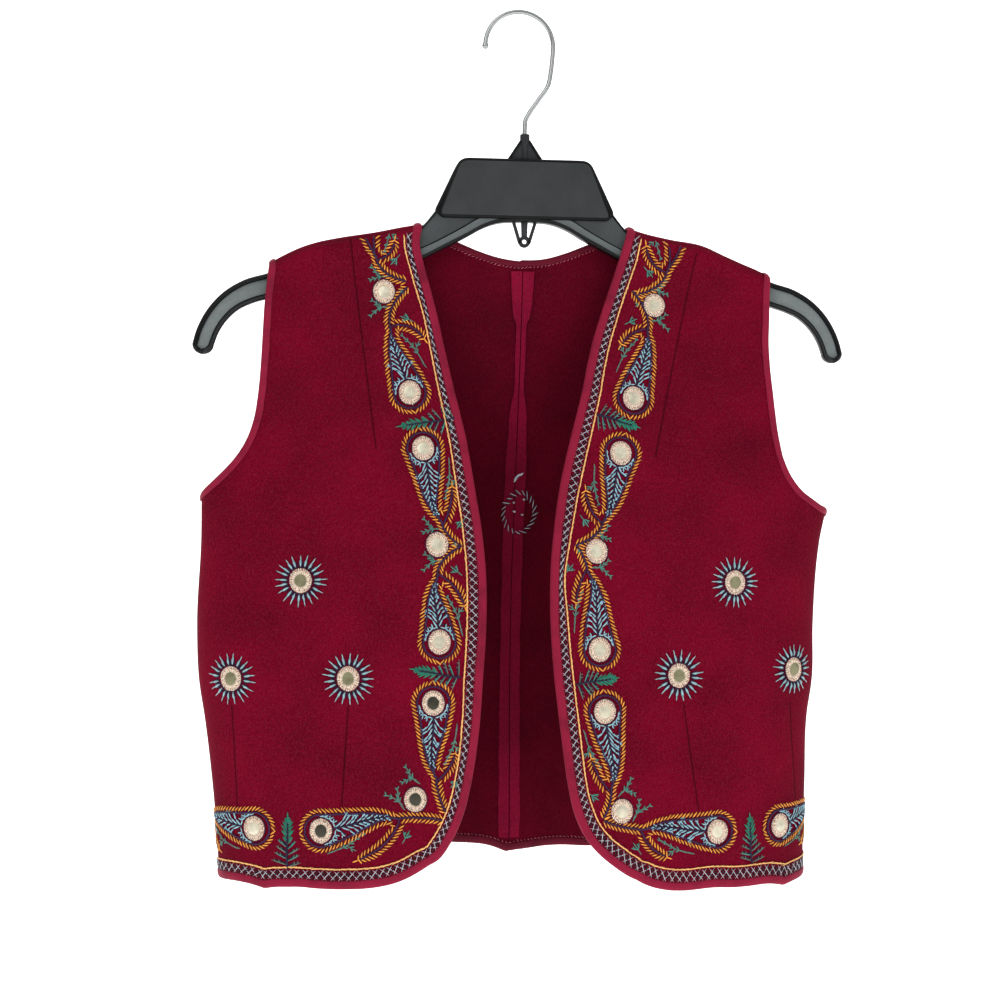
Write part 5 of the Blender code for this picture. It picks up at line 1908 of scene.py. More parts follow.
@dataclass
class Vest:
    """The garment: panels, bindings, seam allowances, mirrors and embroidery."""

    form: BodyForm
    wall: float = 1.6
    leaf: float = 5.3
    front_leaf: float = 3.9
    armhole_leaf: float = 3.4
    # The share of the way to a side seam that counts as on it.
    at_seam: float = 0.9999
    # How far the cloth sinks at its seams.
    seam_sink: float = 0.55
    centre_sink: float = 0.5
    # Distance along a front's bound edge from the shoulder, and how far inside it the gold line runs.
    gold_inset: tuple = (
        ((0, 9.2), (60, 7.6), (110, 8.8), (165, 10.2), (290, 10.8), (370, 9.2), (410, 10), (450, 11))
        + ((560, 11.2), (620, 13)),
        ((0, 9), (90, 10), (180, 11), (215, 9.6), (240, 7.8), (262, 9.3), (290, 10.3), (390, 10.6))
        + ((430, 11.6), (480, 12.3)),
    )
    # The folded strip's section, as distance past the cut edge and height off the cloth's middle.
    strip: tuple = (
        (-5.3, 0.95), (-5.4, 1.2), (-5.15, 1.5), (-4.2, 1.72), (-2.8, 1.84), (-1.2, 1.82), (0.2, 1.62), (1, 1.12),
        (1.38, 0.4), (1.38, -0.5), (0.9, -1.2), (0, -1.65), (-1.5, -1.8), (-3.2, -1.75), (-4.1, -1.5),
        (-4.3, -1.15), (-4.1, -0.95), (0.3, -0.95), (0.4, 0), (0.3, 0.95),
    )
    # Chart places of the mirrors.
    mirrors: tuple = (
        ((-93, -185), (-77, -251), (-69, -287), (-61, -348), (-60, -409), (-64, -447))
        + ((-75, -507), (-147, -371), (-192, -433), (-117, -432), (-134, -527), (-177, -527)),
        ((85, -191), (69, -253), (59, -289), (41, -352), (42, -414), (45, -453))
        + ((56, -516), (133, -372), (94, -431), (177, -429), (120, -531), (167, -530)),
    )
    # The teardrops' heads, the first a place and the others a mirror's number, then neck, tail and leaf.
    teardrops: tuple = (
        (
            ((-107, -115), (-98, -163), (-79, -178), (-86, -151)), (1, (-89, -209), (-78, -182), (-67, -216)),
            (2, (-58, -334), (-46, -349), (-51, -311)), (4, (-61, -368), (-46, -349), (-44, -387)),
            (5, (-62, -494), (-56, -515), (-50, -478)), (10, (-86, -519), (-58, -520), (-111, -545)),
            (11, (-220, -524), (-229, -524), (-206, -544)),
        ),
        (
            ((104, -121), (94, -168), (74, -184), (80, -151)), (1, (80, -208), (71, -182), (62, -218)),
            (2, (46, -333), (28, -348), (35, -313)), (4, (35, -365), (28, -348), (27, -385)),
            (5, (49, -502), (44, -520), (36, -482)), (10, (70, -528), (44.5, -522), (86, -546)),
            (11, (212, -523), (222, -523), (190, -544)),
        ),
    )
    sprigs: tuple = (
        (((-48, -267), (-84, -273)), ((-47, -431), (-77, -426)), ((-155, -551), (-155, -518))),
        (((44, -264), (71, -272)), ((27, -436), (53, -432)), ((145, -553), (143, -522))),
    )
    # The numbers of the mirrors that are tinted dark.
    dark: tuple = ((5, 6, 7, 8, 9, 10), (7, 8, 9))
    # The ends of the sewn darts; the back's two halves are alike.
    front_darts: tuple = (
        (((-115, -149), (-99, -287)), ((-192, -450), (-189, -516)), ((-117, -449), (-121, -513))),
        (((114, -156), (82, -291)), ((97, -449), (107, -516)), ((175, -451), (182, -514))),
    )
    back_darts: tuple = (((92, -470), (90, -400)), ((92, -470), (95, -552)))
    # The back motif's middle, and its half width and half height.
    motif: Place = (3.5, -327.0)
    motif_size: Place = (11.0, 13.8)
    # Height and width of the centre-back seam allowances.
    allowance: tuple = (
        (-168, 8), (-184, 6.8), (-198, 5.4), (-202, 3.4), (-246, 3.2), (-262, 5.8), (-300, 7.1),
        (-551.0, 6.4),
    )
    # How far the back motif's threads lie off the panel where they cross the allowances.
    over_allowance: float = 2.0

    def __post_init__(self) -> None:
        """Works out the cut and the charts, and makes the finishes."""
        self.cut = Cut(self.form)
        self.charts = {face: Chart(self.form, face) for face in Face}
        self.grids = {(Face.FRONT, side): self.cut.front(side) for side in Side}
        self.grids |= {(Face.BACK, side): self.cut.back(side) for side in Side}
        self.thread = ThreadFinish().build()
        self.binding_finish = BindingFinish().build()
        self.pieces: dict[str, Object] = {}

    def build(self) -> None:
        """Makes all pieces."""
        for face in Face:
            for side in Side:
                self.build_panel(face, side)
        self.build_bindings()
        self.build_allowances()
        self.build_embroidery()

    def keep(self, name: str, obj: Object, slot: str | None, *nodes: str) -> None:
        """Files a piece, puts it under the root body and hides the CAD nodes that it stands for.

        Args:
            name: the piece's name in `pieces`.
            obj: the piece.
            slot: not used.
            *nodes: the nodes.
        """
        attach(obj, "root")
        if nodes:
            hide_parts(*nodes)
        self.pieces[name] = obj

    def chart_of(self, face: Face, grid: Array, place: Array) -> Array:
        """Chart places of pattern points."""
        return np.stack([self.charts[face].across(grid[..., 0], place[..., 2]), place[..., 2].ravel()], axis=-1)

    def darts(self, face: Face, side: Side) -> tuple[tuple[Place, Place], ...]:
        """The chart places of the ends of each sewn dart of a panel."""
        back = tuple(tuple((side * across, height) for across, height in dart) for dart in self.back_darts)
        return self.front_darts[side.index] if face == Face.FRONT else back

    def build_panel(self, face: Face, side: Side) -> None:
        """Makes one panel as a wall of cloth, a little sunk along its seams.

        Args:
            face: front or back.
            side: the half of the garment.
        """
        coarse = self.grids[face, side]
        grid = self.cut.fine_grid(face, coarse)
        place, normal = self.form.lay(face, grid)
        first = 0 if face == Face.FRONT else abs(coarse[0, self.cut.back_columns[0], 0]) - 1e-6
        on_shoulder, at_side = np.abs(grid[0, :, 0]) >= first, np.abs(grid[:, -1, 0]) > self.at_seam
        sink = np.zeros(grid.shape[:2])
        sink[0, on_shoulder] = self.seam_sink
        sink[at_side, -1] = self.seam_sink
        if face == Face.BACK:
            sink[:, 0] = self.centre_sink
        place = place - sink[..., None] * normal
        uv = self.chart_of(face, grid, place)
        # Past a few millimetres all distances look the same.
        seam = np.full(grid.shape[:2], 9.0)
        seam[:, on_shoulder] = np.minimum(seam, length_along(place))[:, on_shoulder]
        across = place.swapaxes(0, 1)
        seam[at_side] = np.minimum(seam, length_along(across[::-1])[::-1].T)[at_side]
        if face == Face.BACK:
            seam = np.minimum(seam, length_along(across).T)
        label = f"{face.name.lower()}_{side.label}"
        half = self.wall / 2 * normal
        mesh = wall_mesh(f"cloth_{label}", place + half, place - half, uv)
        give(mesh, "seam_distance", np.tile(seam.ravel(), 2) * MM)
        # Marks the inner faces, which the finish darkens as painted shade.
        give(mesh, "shaded_inner_side", np.repeat([0.0, 1.0], seam.size))
        finish = WoolFinish(f"wool_flannel_{label}", darts=self.darts(face, side)).build()
        self.keep(label, new_object(f"cloth_{label}", mesh, finish), "wool", label)

    def strip_along(
        self, name: str, face: Array, line: Array, hand: int, seams: dict, seed: int, leaf: float, closed: bool = False
    ) -> None:
        """Makes a binding: the folded strip swept along a cut edge.

        Args:
            name: the CAD node that it stands for.
            face: front or back at each point of the edge.
            line: the edge's pattern points.
            hand: +1 where the cloth lies to the right of the edge, seen from outside, and -1 to the left.
            seams: the seam that a point is on, by its number.
            seed: sets the strip's unevenness.
            leaf: how far in the outer leaf reaches.
            closed: whether the edge is a loop.
        """
        form = self.form
        place, normal = form.lay(face, line)
        ahead = unit(np.roll(place, -1, axis=0) - place)
        behind = np.roll(ahead, 1, axis=0)
        if not closed:
            ahead[-1], behind[0] = ahead[-2], ahead[0]
        out = unit(hand * np.cross(unit(ahead + behind), normal))
        run = length_along(place)
        fade = np.clip(np.minimum(run, run[-1] - run) / 20, 0, 1) if closed else 1.0
        wide, high = 1 + 0.045 * wander(run, seed, 26) * fade, 1 + 0.06 * wander(run, seed + 1, 17) * fade
        inner = form.inwards(face, line, out, 1.0, seams) - line
        if not closed:
            edge = form.point(face, *(line + self.leaf * inner).T)
            out[[0, -1]] = unit(place - edge)[[0, -1]]
        rings = np.empty((len(line), len(self.strip), 3))
        for k, (away, up) in enumerate(self.strip):
            lift = up * np.where(abs(up) > 1.3, high, 1.0)
            if away < 0:
                reach = -away * (leaf if up > 0.5 or name == "neck_binding" else self.leaf) / self.leaf
                spot, off = form.lay(face, line + inner * (reach * wide)[:, None])
                rings[:, k] = spot + lift[:, None] * off
            else:
                rings[:, k] = place + away * out + lift[:, None] * normal
        mesh = mesh_of(f"strip_{name}", rings.reshape(-1, 3), loft_faces(len(line), len(self.strip), closed))
        # Marks the strip's inner side, which the finish darkens as painted shade.
        give(mesh, "shaded_inner_side", np.tile([float(up < -1.0) for _, up in self.strip], len(line)))
        mesh.set_sharp_from_angle(angle=math.radians(75))
        self.keep(name, new_object(f"strip_{name}", faces_out(mesh), self.binding_finish), "binding", name)

    def front_edge(self, side: Side, size: float) -> Array:
        """A front's bound edge, from the shoulder down and round to the side seam."""
        grid = self.grids[Face.FRONT, side]
        return self.cut.finer(Face.FRONT, np.concatenate([grid[:, 0], grid[-1, 1:]]), size)

    def inset(self, face: Face, line: Array, hand: int, width: Array | float) -> Array:
        """Chart line beside a bound edge.

        Args:
            face: front or back.
            line: the edge's pattern points.
            hand: as in `strip_along`.
            width: distance inside the edge, for the whole line or at each point.

        Returns:
            The line's chart places.
        """
        place, normal = self.form.lay(face, line)
        out = unit(hand * np.cross(unit(np.gradient(place, axis=0)), normal))
        inner = self.form.inwards(face, line, out, 1.0, {}) - line
        moved = line + np.reshape(width, (-1, 1)) * inner
        return self.chart_of(face, moved, self.form.lay(face, moved)[0])

    def edge_lines(self, side: Side) -> tuple[Array, Array, Array]:
        """A front's lines of stitches beside its bound edge: the herringbone's outer and inner, and the gold one.

        Args:
            side: the half of the garment.

        Returns:
            The chart places of the three lines.
        """
        line = self.front_edge(side, 2.0)
        rows = np.array(self.gold_inset[side.index], float)
        gold = smooth(rows[:, 0], rows[:, 1], self.cut.lengths(Face.FRONT, line))
        return tuple(self.inset(Face.FRONT, line, int(side), width) for width in (0 * gold + 4.4, gold - 1.4, gold))

    def build_bindings(self, size: float = 1.7) -> None:
        """Makes the strips round all cut edges.

        Args:
            size: how far apart the points of an edge are.
        """
        cut, front_end = self.cut, len(self.cut.front_lead) + self.cut.front_rows[0]
        back_end = len(cut.back_lead) + cut.back_rows[0]
        for side in Side:
            front, back = self.grids[Face.FRONT, side], self.grids[Face.BACK, side]
            edge = self.front_edge(side, size)
            seams = {0: Seam.SHOULDER, len(edge) - 1: Seam.SIDE}
            name = side.label
            self.strip_along(f"front_binding_{name}", Face.FRONT, edge, side, seams, 11 + side, self.front_leaf)
            fore = cut.finer(Face.FRONT, front[:front_end, -1], size)
            aft = cut.finer(Face.BACK, back[back_end - 1 :: -1, -1], size)[1:-1]
            face = np.repeat([int(Face.FRONT), int(Face.BACK)], [len(fore), len(aft)])
            loop, seams, leaf = np.concatenate([fore, aft]), {0: Seam.SHOULDER}, self.armhole_leaf
            self.strip_along(f"armhole_binding_{name}", face, loop, -side, seams, 21 + side, leaf, closed=True)
        for name, hand, seam in (("neck_binding", 1, Seam.SHOULDER), ("hem_binding", -1, Seam.SIDE)):
            edge = self.back_edge(name, size)
            seams = {0: seam, len(edge) - 1: seam}
            self.strip_along(name, Face.BACK, edge, hand, seams, 31 + hand, self.armhole_leaf)

    def back_edge(self, name: str, size: float) -> Array:
        """The bound edge of the back's neck or hem, from right to left.

        Args:
            name: the binding's name.
            size: how far apart its points are.

        Returns:
            The edge's pattern points.
        """
        right, left = self.grids[Face.BACK, Side.RIGHT], self.grids[Face.BACK, Side.LEFT]
        row, last = (0, self.cut.back_columns[0]) if name == "neck_binding" else (-1, right.shape[1] - 1)
        middle = (right[row, 0] + left[row, 0]) / 2
        line = np.concatenate([right[row, last:0:-1], [middle], left[row, 1 : last + 1]])
        return self.cut.finer(Face.BACK, line, size)

    def build_allowances(self) -> None:
        """Makes the two seam allowances, pressed open inside the back."""
        rows = np.array(self.allowance)
        heights = np.linspace(rows[0, 0], rows[-1, 0], 150)
        finish = WoolFinish("wool_flannel_allowance", colour="#880C30", dark="#620622", seams=False).build()
        for side in Side:
            width = np.interp(-heights, -rows[:, 0], rows[:, 1]) + 0.25 * wander(heights, 41 + side, 18)
            x = side * np.stack([np.full_like(width, 0.3), 0.3 * width, 0.6 * width, width], axis=-1)
            grid = self.form.pattern_of(x, np.repeat(heights[:, None], 4, axis=1))
            place, normal = self.form.lay(Face.BACK, grid)
            rise = np.array([0.0, 0.15, 0.3, 0.55]) * (1 + 0.6 * wander(heights, 51 + side, 30))[:, None]
            top, under = (place - (self.wall / 2 + gap + rise)[..., None] * normal for gap in (0.12, 1.2))
            name = f"back_allowance_{side.label}"
            mesh = wall_mesh(f"cloth_{name}", top, under, self.chart_of(Face.BACK, grid, place))
            self.keep(name, new_object(f"cloth_{name}", mesh, finish), "wool", name)

    def embroideries(self) -> tuple[Embroidery, Embroidery]:
        """The two fronts' embroidery.

        Returns:
            The right one and the left one.
        """
        designs = []
        for side in Side:
            mirrors, (first, *rest) = self.mirrors[side.index], self.teardrops[side.index]
            paisleys = [Paisley(*first, feathered=False)]
            paisleys += [Paisley(mirrors[index], *places) for index, *places in rest]
            designs.append(Embroidery(side, mirrors, tuple(paisleys), self.sprigs[side.index], self.dark[side.index]))
        return tuple(designs)

    def build_embroidery(self) -> None:
        """Makes the mirrors, their rings and the rest of the embroidery."""
        tree = StitchTree(self.thread)
        glass = MirrorFinish().build()
        for design in self.embroideries():
            side, name = design.side, design.side.label
            sheet = Stitchwork(self.charts[Face.FRONT], 70 + side)
            design.work(sheet, *self.edge_lines(side))
            self.keep(f"embroidery_{name}", tree.sew(f"embroidery_{name}", sheet, self.wall), None)
            rings = Stitchwork(self.charts[Face.FRONT], 80 + side)
            for centre in design.mirrors:
                rings.ring(centre)
            self.keep(f"rings_{name}", tree.sew(f"mirror_rings_{name}", rings, self.wall), None)
            discs = self.glass_discs(design, glass)
            self.keep(f"mirrors_{name}", discs, "mirror", *(f"mirror_{name}_{k:02d}" for k in range(1, 13)))
        wrong = Stitchwork(self.charts[Face.BACK], 91, wrong_side=True)
        outer = Stitchwork(self.charts[Face.BACK], 92)
        self.back_motif(wrong, outer)
        self.hemming(wrong)
        self.keep("motif_inside", tree.sew("back_motif_inside", wrong, self.wall), None)
        self.keep("motif_outside", tree.sew("back_motif_outside", outer, self.wall), None)

    def back_motif(self, wrong: Stitchwork, outer: Stitchwork) -> None:
        """The small teardrop in the middle of the back, and how its threads show inside.

        Args:
            wrong: the stitches as they show inside.
            outer: the stitches outside.
        """
        angle = np.linspace(0, 2 * math.pi, 60)
        narrow = 1 - 0.32 * np.clip(np.sin(angle), 0, 1) ** 2
        (across, height), (wide, high) = self.motif, self.motif_size
        loop = np.stack([across + wide * np.cos(angle) * narrow, height + high * np.sin(angle)], axis=-1)
        curl = curve([(3.5, -313.2), (5.6, -308.6), (4.0, -304.8), (1.0, -302.0)])
        outer.slanted(loop, -1)
        outer.slanted(curl, -1)
        outer.stem(loop[::-1] * (0.8, 1.0) + (0.7, 0.0), Threads.PURPLE, 1.0)
        outer.fork((3.5, -338.0), (3.5, -317.0), 0.5, 3)
        outer.fork((3.5, -333.0), (3.5, -323.0), 1.0, 3)
        place, ahead, left = wrong.spread(loop, 3.7)
        way = unit(0.72 * ahead - 0.7 * left + 0.2 * wrong.rng.normal(0, 1, ahead.shape))
        size = wrong.rng.uniform(1.7, 2.9, (len(place), 1))
        over = np.abs(place[:, 0]) < 8.0
        for chosen, lift in ((over, self.over_allowance), (~over, 0.0)):
            start, stop = (place - size * way)[chosen], (place + size * way)[chosen]
            wrong.add(start, stop, Threads.PALE, 0.62, lift)
            # A navy stitch beside each pale one, partly painted shadow.
            wrong.add(start + 1.0 * ahead[chosen], stop + 1.0 * ahead[chosen], Threads.NAVY, 0.6, lift)
        tick = curve([(-0.6, -305.4), (0.8, -302.8), (4.4, -300.8)])
        wrong.stem(tick, Threads.PALE, 1.7, lift=self.over_allowance)
        spots = np.array([(5.7, -317.8), (-1.3, -320.0), (-0.7, -326.0), (4.7, -328.3)])
        wrong.add(spots, spots + (1.5, -0.5), Threads.PALE, 1.6, self.over_allowance)

    def hemming(self, sheet: Stitchwork) -> None:
        """Sews the inner leaves of the back's neck and hem bindings down with small slanted stitches.

        Args:
            sheet: the stitches inside the back.
        """
        for name, hand, inset in (("neck_binding", 1, 3.4), ("hem_binding", -1, 4.7)):
            edge = self.back_edge(name, 2.0)
            place, ahead, left = sheet.spread(self.inset(Face.BACK, edge, hand, inset), 2.6)
            way = unit(0.8 * ahead + 0.5 * hand * left + 0.25 * sheet.rng.normal(0, 1, ahead.shape))
            size = sheet.rng.uniform(0.7, 1.1, (len(place), 1))
            sheet.add(place - size * way, place + size * way, Threads.HEM, 0.5, 0.3)

    def glass_discs(self, design: Embroidery, finish: Material, radius: float = 4.9) -> Object:
        """Makes the mirrors of a front, each a thin domed disc, slightly tilted in its ring.

        Args:
            design: the front's embroidery.
            finish: the glass.
            radius: a mirror's radius.

        Returns:
            The mirrors, as one piece.
        """
        rng = np.random.default_rng(60 + design.side)
        centres, normals, _ = self.charts[Face.FRONT].on_cloth(np.array(design.mirrors, float))
        rings = ((0.96, 0.1), (1.0, 0.45), (0.97, 0.8), (0.8, 0.95), (0.5, 1.08), (0.2, 1.13))
        sides, points, faces, tint = 30, [], [], []
        for index, (centre, normal) in enumerate(zip(centres, normals)):
            normal = unit(normal + 0.045 * rng.normal(0, 1, 3))
            across = unit(np.cross((0.0, 0.0, 1.0), normal))
            upward = np.cross(normal, across)
            first, angle = len(points), turns(sides)
            for share, high in rings:
                for a in angle:
                    flat = radius * share * (math.cos(a) * across + math.sin(a) * upward)
                    points.append(centre + (self.wall / 2 + high) * normal + flat)
            faces += [[first + k for k in face] for face in loft_faces(len(rings), sides, closed=False)]
            # The mirrors in `design.dark` get a dark tint, grey-green for those with rays.
            dark_tint = MirrorFinish.toned if index in design.stars else MirrorFinish.dark
            colour = dark_tint if index in design.dark else MirrorFinish.clear
            tint += [srgb(colour)] * (len(rings) * sides)
        mesh = faces_out(mesh_of(f"glass_{design.side.label}", np.array(points), faces))
        give(mesh, "tint", tint, "FLOAT_COLOR")
        return new_object(f"mirrors_{design.side.label}", mesh, finish)


# ---- hanger and studio


@dataclass
class Hanger:
    """The moulded hanger and its wire hook."""

    wire: float = 1.5
    ball: float = 2.2
    radius: float = 22.5
    offset: float = -4.0
    tip_angle: float = 187.0
    shoulder_angle: float = -3.0
    stem: tuple = (
        (17.9, -29.5), (17, -37.5), (15.4, -45.6), (8.6, -56.2), (2.4, -65.4), (0.35, -69.4), (0, -73.5),
        (0, -90),
    )
    # Upper edge, lower edge, half depth, height of the low band, half thickness of the web, and how grained it is and
    # how grey with painted reflection.
    bar: tuple = (
        (0, -112, 0, -136.6, 4.4, 3.4, 2.8, 0.55), (20, -110, 18.5, -138, 4.4, 4.8, 2.8, 0.55),
        (34, -113, 29.5, -142.2, 4.4, 7, 2.8, 0.55), (44, -114.5, 38.5, -147.4, 4.4, 6.8, 2.8, 0.55),
        (51, -119.5, 47, -151.8, 4.4, 6.5, 2.8, 0.55), (56.2, -126, 57.5, -157.2, 4.4, 6.8, 2.8, 0.58),
        (60.9, -132.6, 67.5, -162.2, 4.4, 7.8, 2.8, 0.6), (68.4, -140.9, 76, -165, 4.4, 7.6, 2.6, 0.65),
        (80, -144.7, 84, -166.4, 4.4, 7, 2, 0.7), (97, -148.4, 97, -169.4, 4.3, 5.4, 1.4, 0.8),
        (120, -153.2, 120, -174, 4.2, 3.8, 1.2, 0.95), (134, -159, 134, -177.6, 4.1, 3, 1.2, 1),
        (146, -164.2, 146, -181.4, 4, 2.6, 1.2, 1), (158, -169.4, 157, -185.8, 3.9, 2.5, 1.2, 1),
        (168, -173.4, 167, -189.6, 3.8, 2.5, 1.2, 1), (182.5, -177.8, 177, -192.8, 3.7, 2.5, 1.2, 1),
        (196, -186, 186.4, -197.4, 3.6, 2.5, 1.2, 1), (207, -198.3, 194.8, -205.6, 3.5, 2.5, 1.2, 1),
        (213.4, -211, 199.6, -213.8, 3.4, 2.5, 1.2, 1), (215.8, -219.5, 202, -220.5, 3.4, 2.5, 1.2, 1),
    )
    low_rim: float = 2.4
    top_rim: float = 3.3
    tip: float = 6.4
    # The plate and the parts round it, as half widths and heights.
    plate: tuple = ((-43.5, -95.4), (43.5, -95.4), (58.8, -135.0), (-58.8, -135.0))
    plate_layers: tuple = (
        (2, 5.4), (1.2, 5.25), (0.4, 4.7), (0, 3.8), (0, -3.8), (0.4, -4.7), (1.2, -5.25), (2, -5.4),
    )
    frame: tuple = ((-43.6, -96.5), (43.6, -96.5), (60.8, -132.8), (-60.8, -132.8))
    gusset: tuple = ((-2.6, -84.5), (2.6, -84.5), (11.0, -96.5), (-11.0, -96.5))
    # Radius and height of the wire's socket.
    socket: tuple = (
        (1.6, -79), (2.5, -78.6), (3, -78.8), (3.2, -79.4), (3.2, -84.6), (2.9, -85.4), (2.3, -86.4), (2.2, -97),
    )
    loop_height: float = -149.4
    # Section of the loop's round end, as distance from the hole's middle and place across.
    loop_section: tuple = (
        (1.5, -1.1), (1.8, -1.3), (3.6, -1.3), (3.9, -1), (3.9, 1), (3.6, 1.3), (1.8, 1.3), (1.5, 1.1),
    )

    def __post_init__(self) -> None:
        """Starts with no shells."""
        self.points: list[Array] = []
        self.faces: list[list[int]] = []
        self.grains_and_reflections: list[float] = []

    def build(self) -> None:
        """Makes the moulding and the hook."""
        self.build_bar()
        self.build_plate()
        self.build_neck()
        self.build_loop()
        mesh = mesh_of("hanger_moulding", np.concatenate(self.points), self.faces)
        give(mesh, "grain_and_reflection", self.grains_and_reflections, domain="FACE")
        mesh.set_sharp_from_angle(angle=math.radians(50))
        body = new_object("hanger_moulding", mesh, PlasticFinish().build())
        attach(body, "root")
        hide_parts("hanger_body")
        self.build_hook()

    def shell(self, rings: Array, grain_and_reflection: Array | float, caps: float = 0.0, closed: bool = False) -> None:
        """Adds a closed shell through rings of points, its faces outwards.

        Args:
            rings: the rings' points, all of one count.
            grain_and_reflection: how grained each strip of faces is, and how grey with painted reflection, for the
                whole shell, each ring step or each face.
            caps: the same for its two ends.
            closed: whether the rings close into a loop.
        """
        count, first = rings.shape[1], sum(len(part) for part in self.points)
        steps = len(rings) if closed else len(rings) - 1
        faces = loft_faces(len(rings), count, closed)
        flat = rings.reshape(-1, 3)
        volume = np.linalg.det(flat[[face[:3] for face in faces]] - flat.mean(axis=0)).sum()
        turned = [face[::-1] for face in faces] if volume < 0 else faces
        self.points.append(flat)
        self.faces += [[first + k for k in face] for face in turned]
        self.grains_and_reflections += np.broadcast_to(grain_and_reflection, (steps, count)).ravel().tolist() + ([] if closed else [caps, caps])

    def section(self, height: float, depth: float, band: float, web: float, rims: tuple[float, float]) -> list[Place]:
        """Front half of the bar's section, as height in it and distance off its middle plane.

        Args:
            height: from its lower edge to its upper.
            depth: half its depth.
            band: height of the raised band on the lower rim.
            web: half thickness of the web.
            rims: heights of the lower and the upper rim.

        Returns:
            The points, from the bottom up.
        """
        low, top = rims
        soft = min(0.9, 0.4 * low)
        band = min(max(band, low + 0.15), height - top - 1.5)
        low, band = min(low, height / 2), max(band, min(low + 0.1, height / 2))
        inner = max(height - top, band + 1.1) if height > 3.0 else height - 0.1
        return [
            (0.0, depth - soft), (0.3 * soft, depth - 0.3 * soft), (soft, depth), (max(low - 0.4, soft), depth),
            (low, depth - 0.4), (low + 0.05, max(depth - 0.9, web)), (band, max(depth - 0.9, web)),
            (band + 0.05, max(web - 0.4, 0.8)), (band + 0.9, max(web - 0.4, 0.8)), (band + 1.0, web),
            (max(inner - 0.3, band + 1.05), web), (inner, max(depth - 0.5, web)),
            (inner + 0.15 * (height - inner), depth), (inner + 0.4 * (height - inner), depth),
            (inner + 0.72 * (height - inner), depth - 0.8), (inner + 0.9 * (height - inner), depth - 1.6),
            (height, depth - 2.4),
        ]

    def build_bar(self, step: float = 2.4) -> None:
        """Makes the bar: two rounded rims with a web between them, from tip to tip.

        Args:
            step: about how far apart its sections are.
        """
        rows = np.array(self.bar)
        middle = (rows[:, 0:2] + rows[:, 2:4]) / 2
        run = length_along(middle)
        at = np.linspace(0, run[-1], int(run[-1] / step))
        stations = [(row[0:2], row[2:4], *row[4:], (self.low_rim, self.top_rim)) for row in smooth(run, rows, at)]
        top, low, depth, *_ = stations[-1]
        centre, half = (top + low) / 2, (top - low) / 2
        ahead = unit(np.array([half[1], -half[0]]))
        radius = float(np.linalg.norm(half))
        inside, room = self.tip - self.top_rim, radius - 0.5 * (self.low_rim + self.top_rim)
        for share in (0.16, 0.32, 0.48, 0.62, 0.74, 0.84, 0.92, 0.97, 0.995):
            outer = math.sqrt(1 - share**2)
            open_half = math.sqrt(max(0.0, 1 - (share * self.tip / inside) ** 2)) * room
            rim = max(radius * outer - open_half, 0.1)
            shift = centre + ahead * self.tip * share
            round_depth = depth * min(1.0, 0.45 + 0.8 * outer)
            web = 1.2 if open_half > 0.6 else round_depth - 0.45
            stations.append((shift + half * outer, shift - half * outer, round_depth, 2.5, web, 1.0, (rim, rim)))
        rings, grains_and_reflections = [], []
        for upper, lower, depth, band, web, grain_and_reflection, rims in stations:
            height = float(np.linalg.norm(upper - lower))
            up = (upper - lower) / height
            front = self.section(height, depth, band, web, rims)
            spots = [(*(lower + v * up), w) for v, w in front]
            rings.append([(x, -w, z) for x, z, w in spots] + [(x, w, z) for x, z, w in spots[::-1]])
            # The lower rim, the low band and the web; every other face keeps the black rim tone, and in the groove
            # between the low band and the web that black is painted shadow.
            tone = np.zeros(len(front) - 1)
            tone[[2, 5, 9]] = 0.3 * grain_and_reflection, 0.8, grain_and_reflection
            grains_and_reflections.append([*tone, 0.0, *tone[::-1], 0.0])
        rings, grains_and_reflections = np.array(rings), np.array(grains_and_reflections)
        self.shell(np.concatenate([rings[:0:-1] * (-1, 1, 1), rings]), np.concatenate([grains_and_reflections[:0:-1], grains_and_reflections[1:]]))

    def rounded(self, corners: tuple, radius: float, steps: int) -> Array:
        """A closed outline with its corners turned into arcs.

        Args:
            corners: the corners.
            radius: how far from a corner its arc starts.
            steps: the points of an arc.

        Returns:
            The outline.
        """
        corners, points = np.array(corners, float), []
        for k, corner in enumerate(corners):
            before, after = unit(corners[k - 1] - corner), unit(corners[(k + 1) % len(corners)] - corner)
            points.append(bend(corner + radius * before, corner, corner + radius * after, steps))
        return np.concatenate(points)

    def slab(self, outline: Array, layers: tuple, grain_and_reflection: Array | float, caps: float) -> None:
        """Adds a flat part: its outline in the XZ plane at layers, each an inset and a place across.

        Args:
            outline: the outline.
            layers: the layers, from front to back or back to front.
            grain_and_reflection: how grained its edge is, and how grey with painted reflection.
            caps: the same for its flat faces.
        """
        inwards = left_of(unit(np.roll(outline, -1, axis=0) - np.roll(outline, 1, axis=0)))
        inwards *= np.sign(((outline.mean(axis=0) - outline) * inwards).sum())
        rings = []
        for inset, y in layers:
            moved = outline + inset * inwards
            rings.append(np.stack([moved[:, 0], np.full(len(moved), y), moved[:, 1]], axis=-1))
        self.shell(np.array(rings), grain_and_reflection, caps)

    def beam(self, start: Place, end: Place, widths: tuple[float, float], half_depth: float, grain_and_reflection: float) -> None:
        """Adds a straight flat part between two points, with soft edges.

        Args:
            start: the middle of one end.
            end: the middle of the other.
            widths: the widths of the two ends.
            half_depth: half its depth.
            grain_and_reflection: how grained it is, and how grey with painted reflection.
        """
        start, end = np.array(start), np.array(end)
        across, soft = left_of(unit(end - start)), half_depth - 0.35
        first, last = widths[0] / 2 * across, widths[1] / 2 * across
        outline = self.rounded([start - first, start + first, end + last, end - last], 0.4, 3)
        self.slab(outline, ((0.35, half_depth), (0.0, soft), (0.0, -soft), (0.35, -half_depth)), grain_and_reflection, grain_and_reflection)

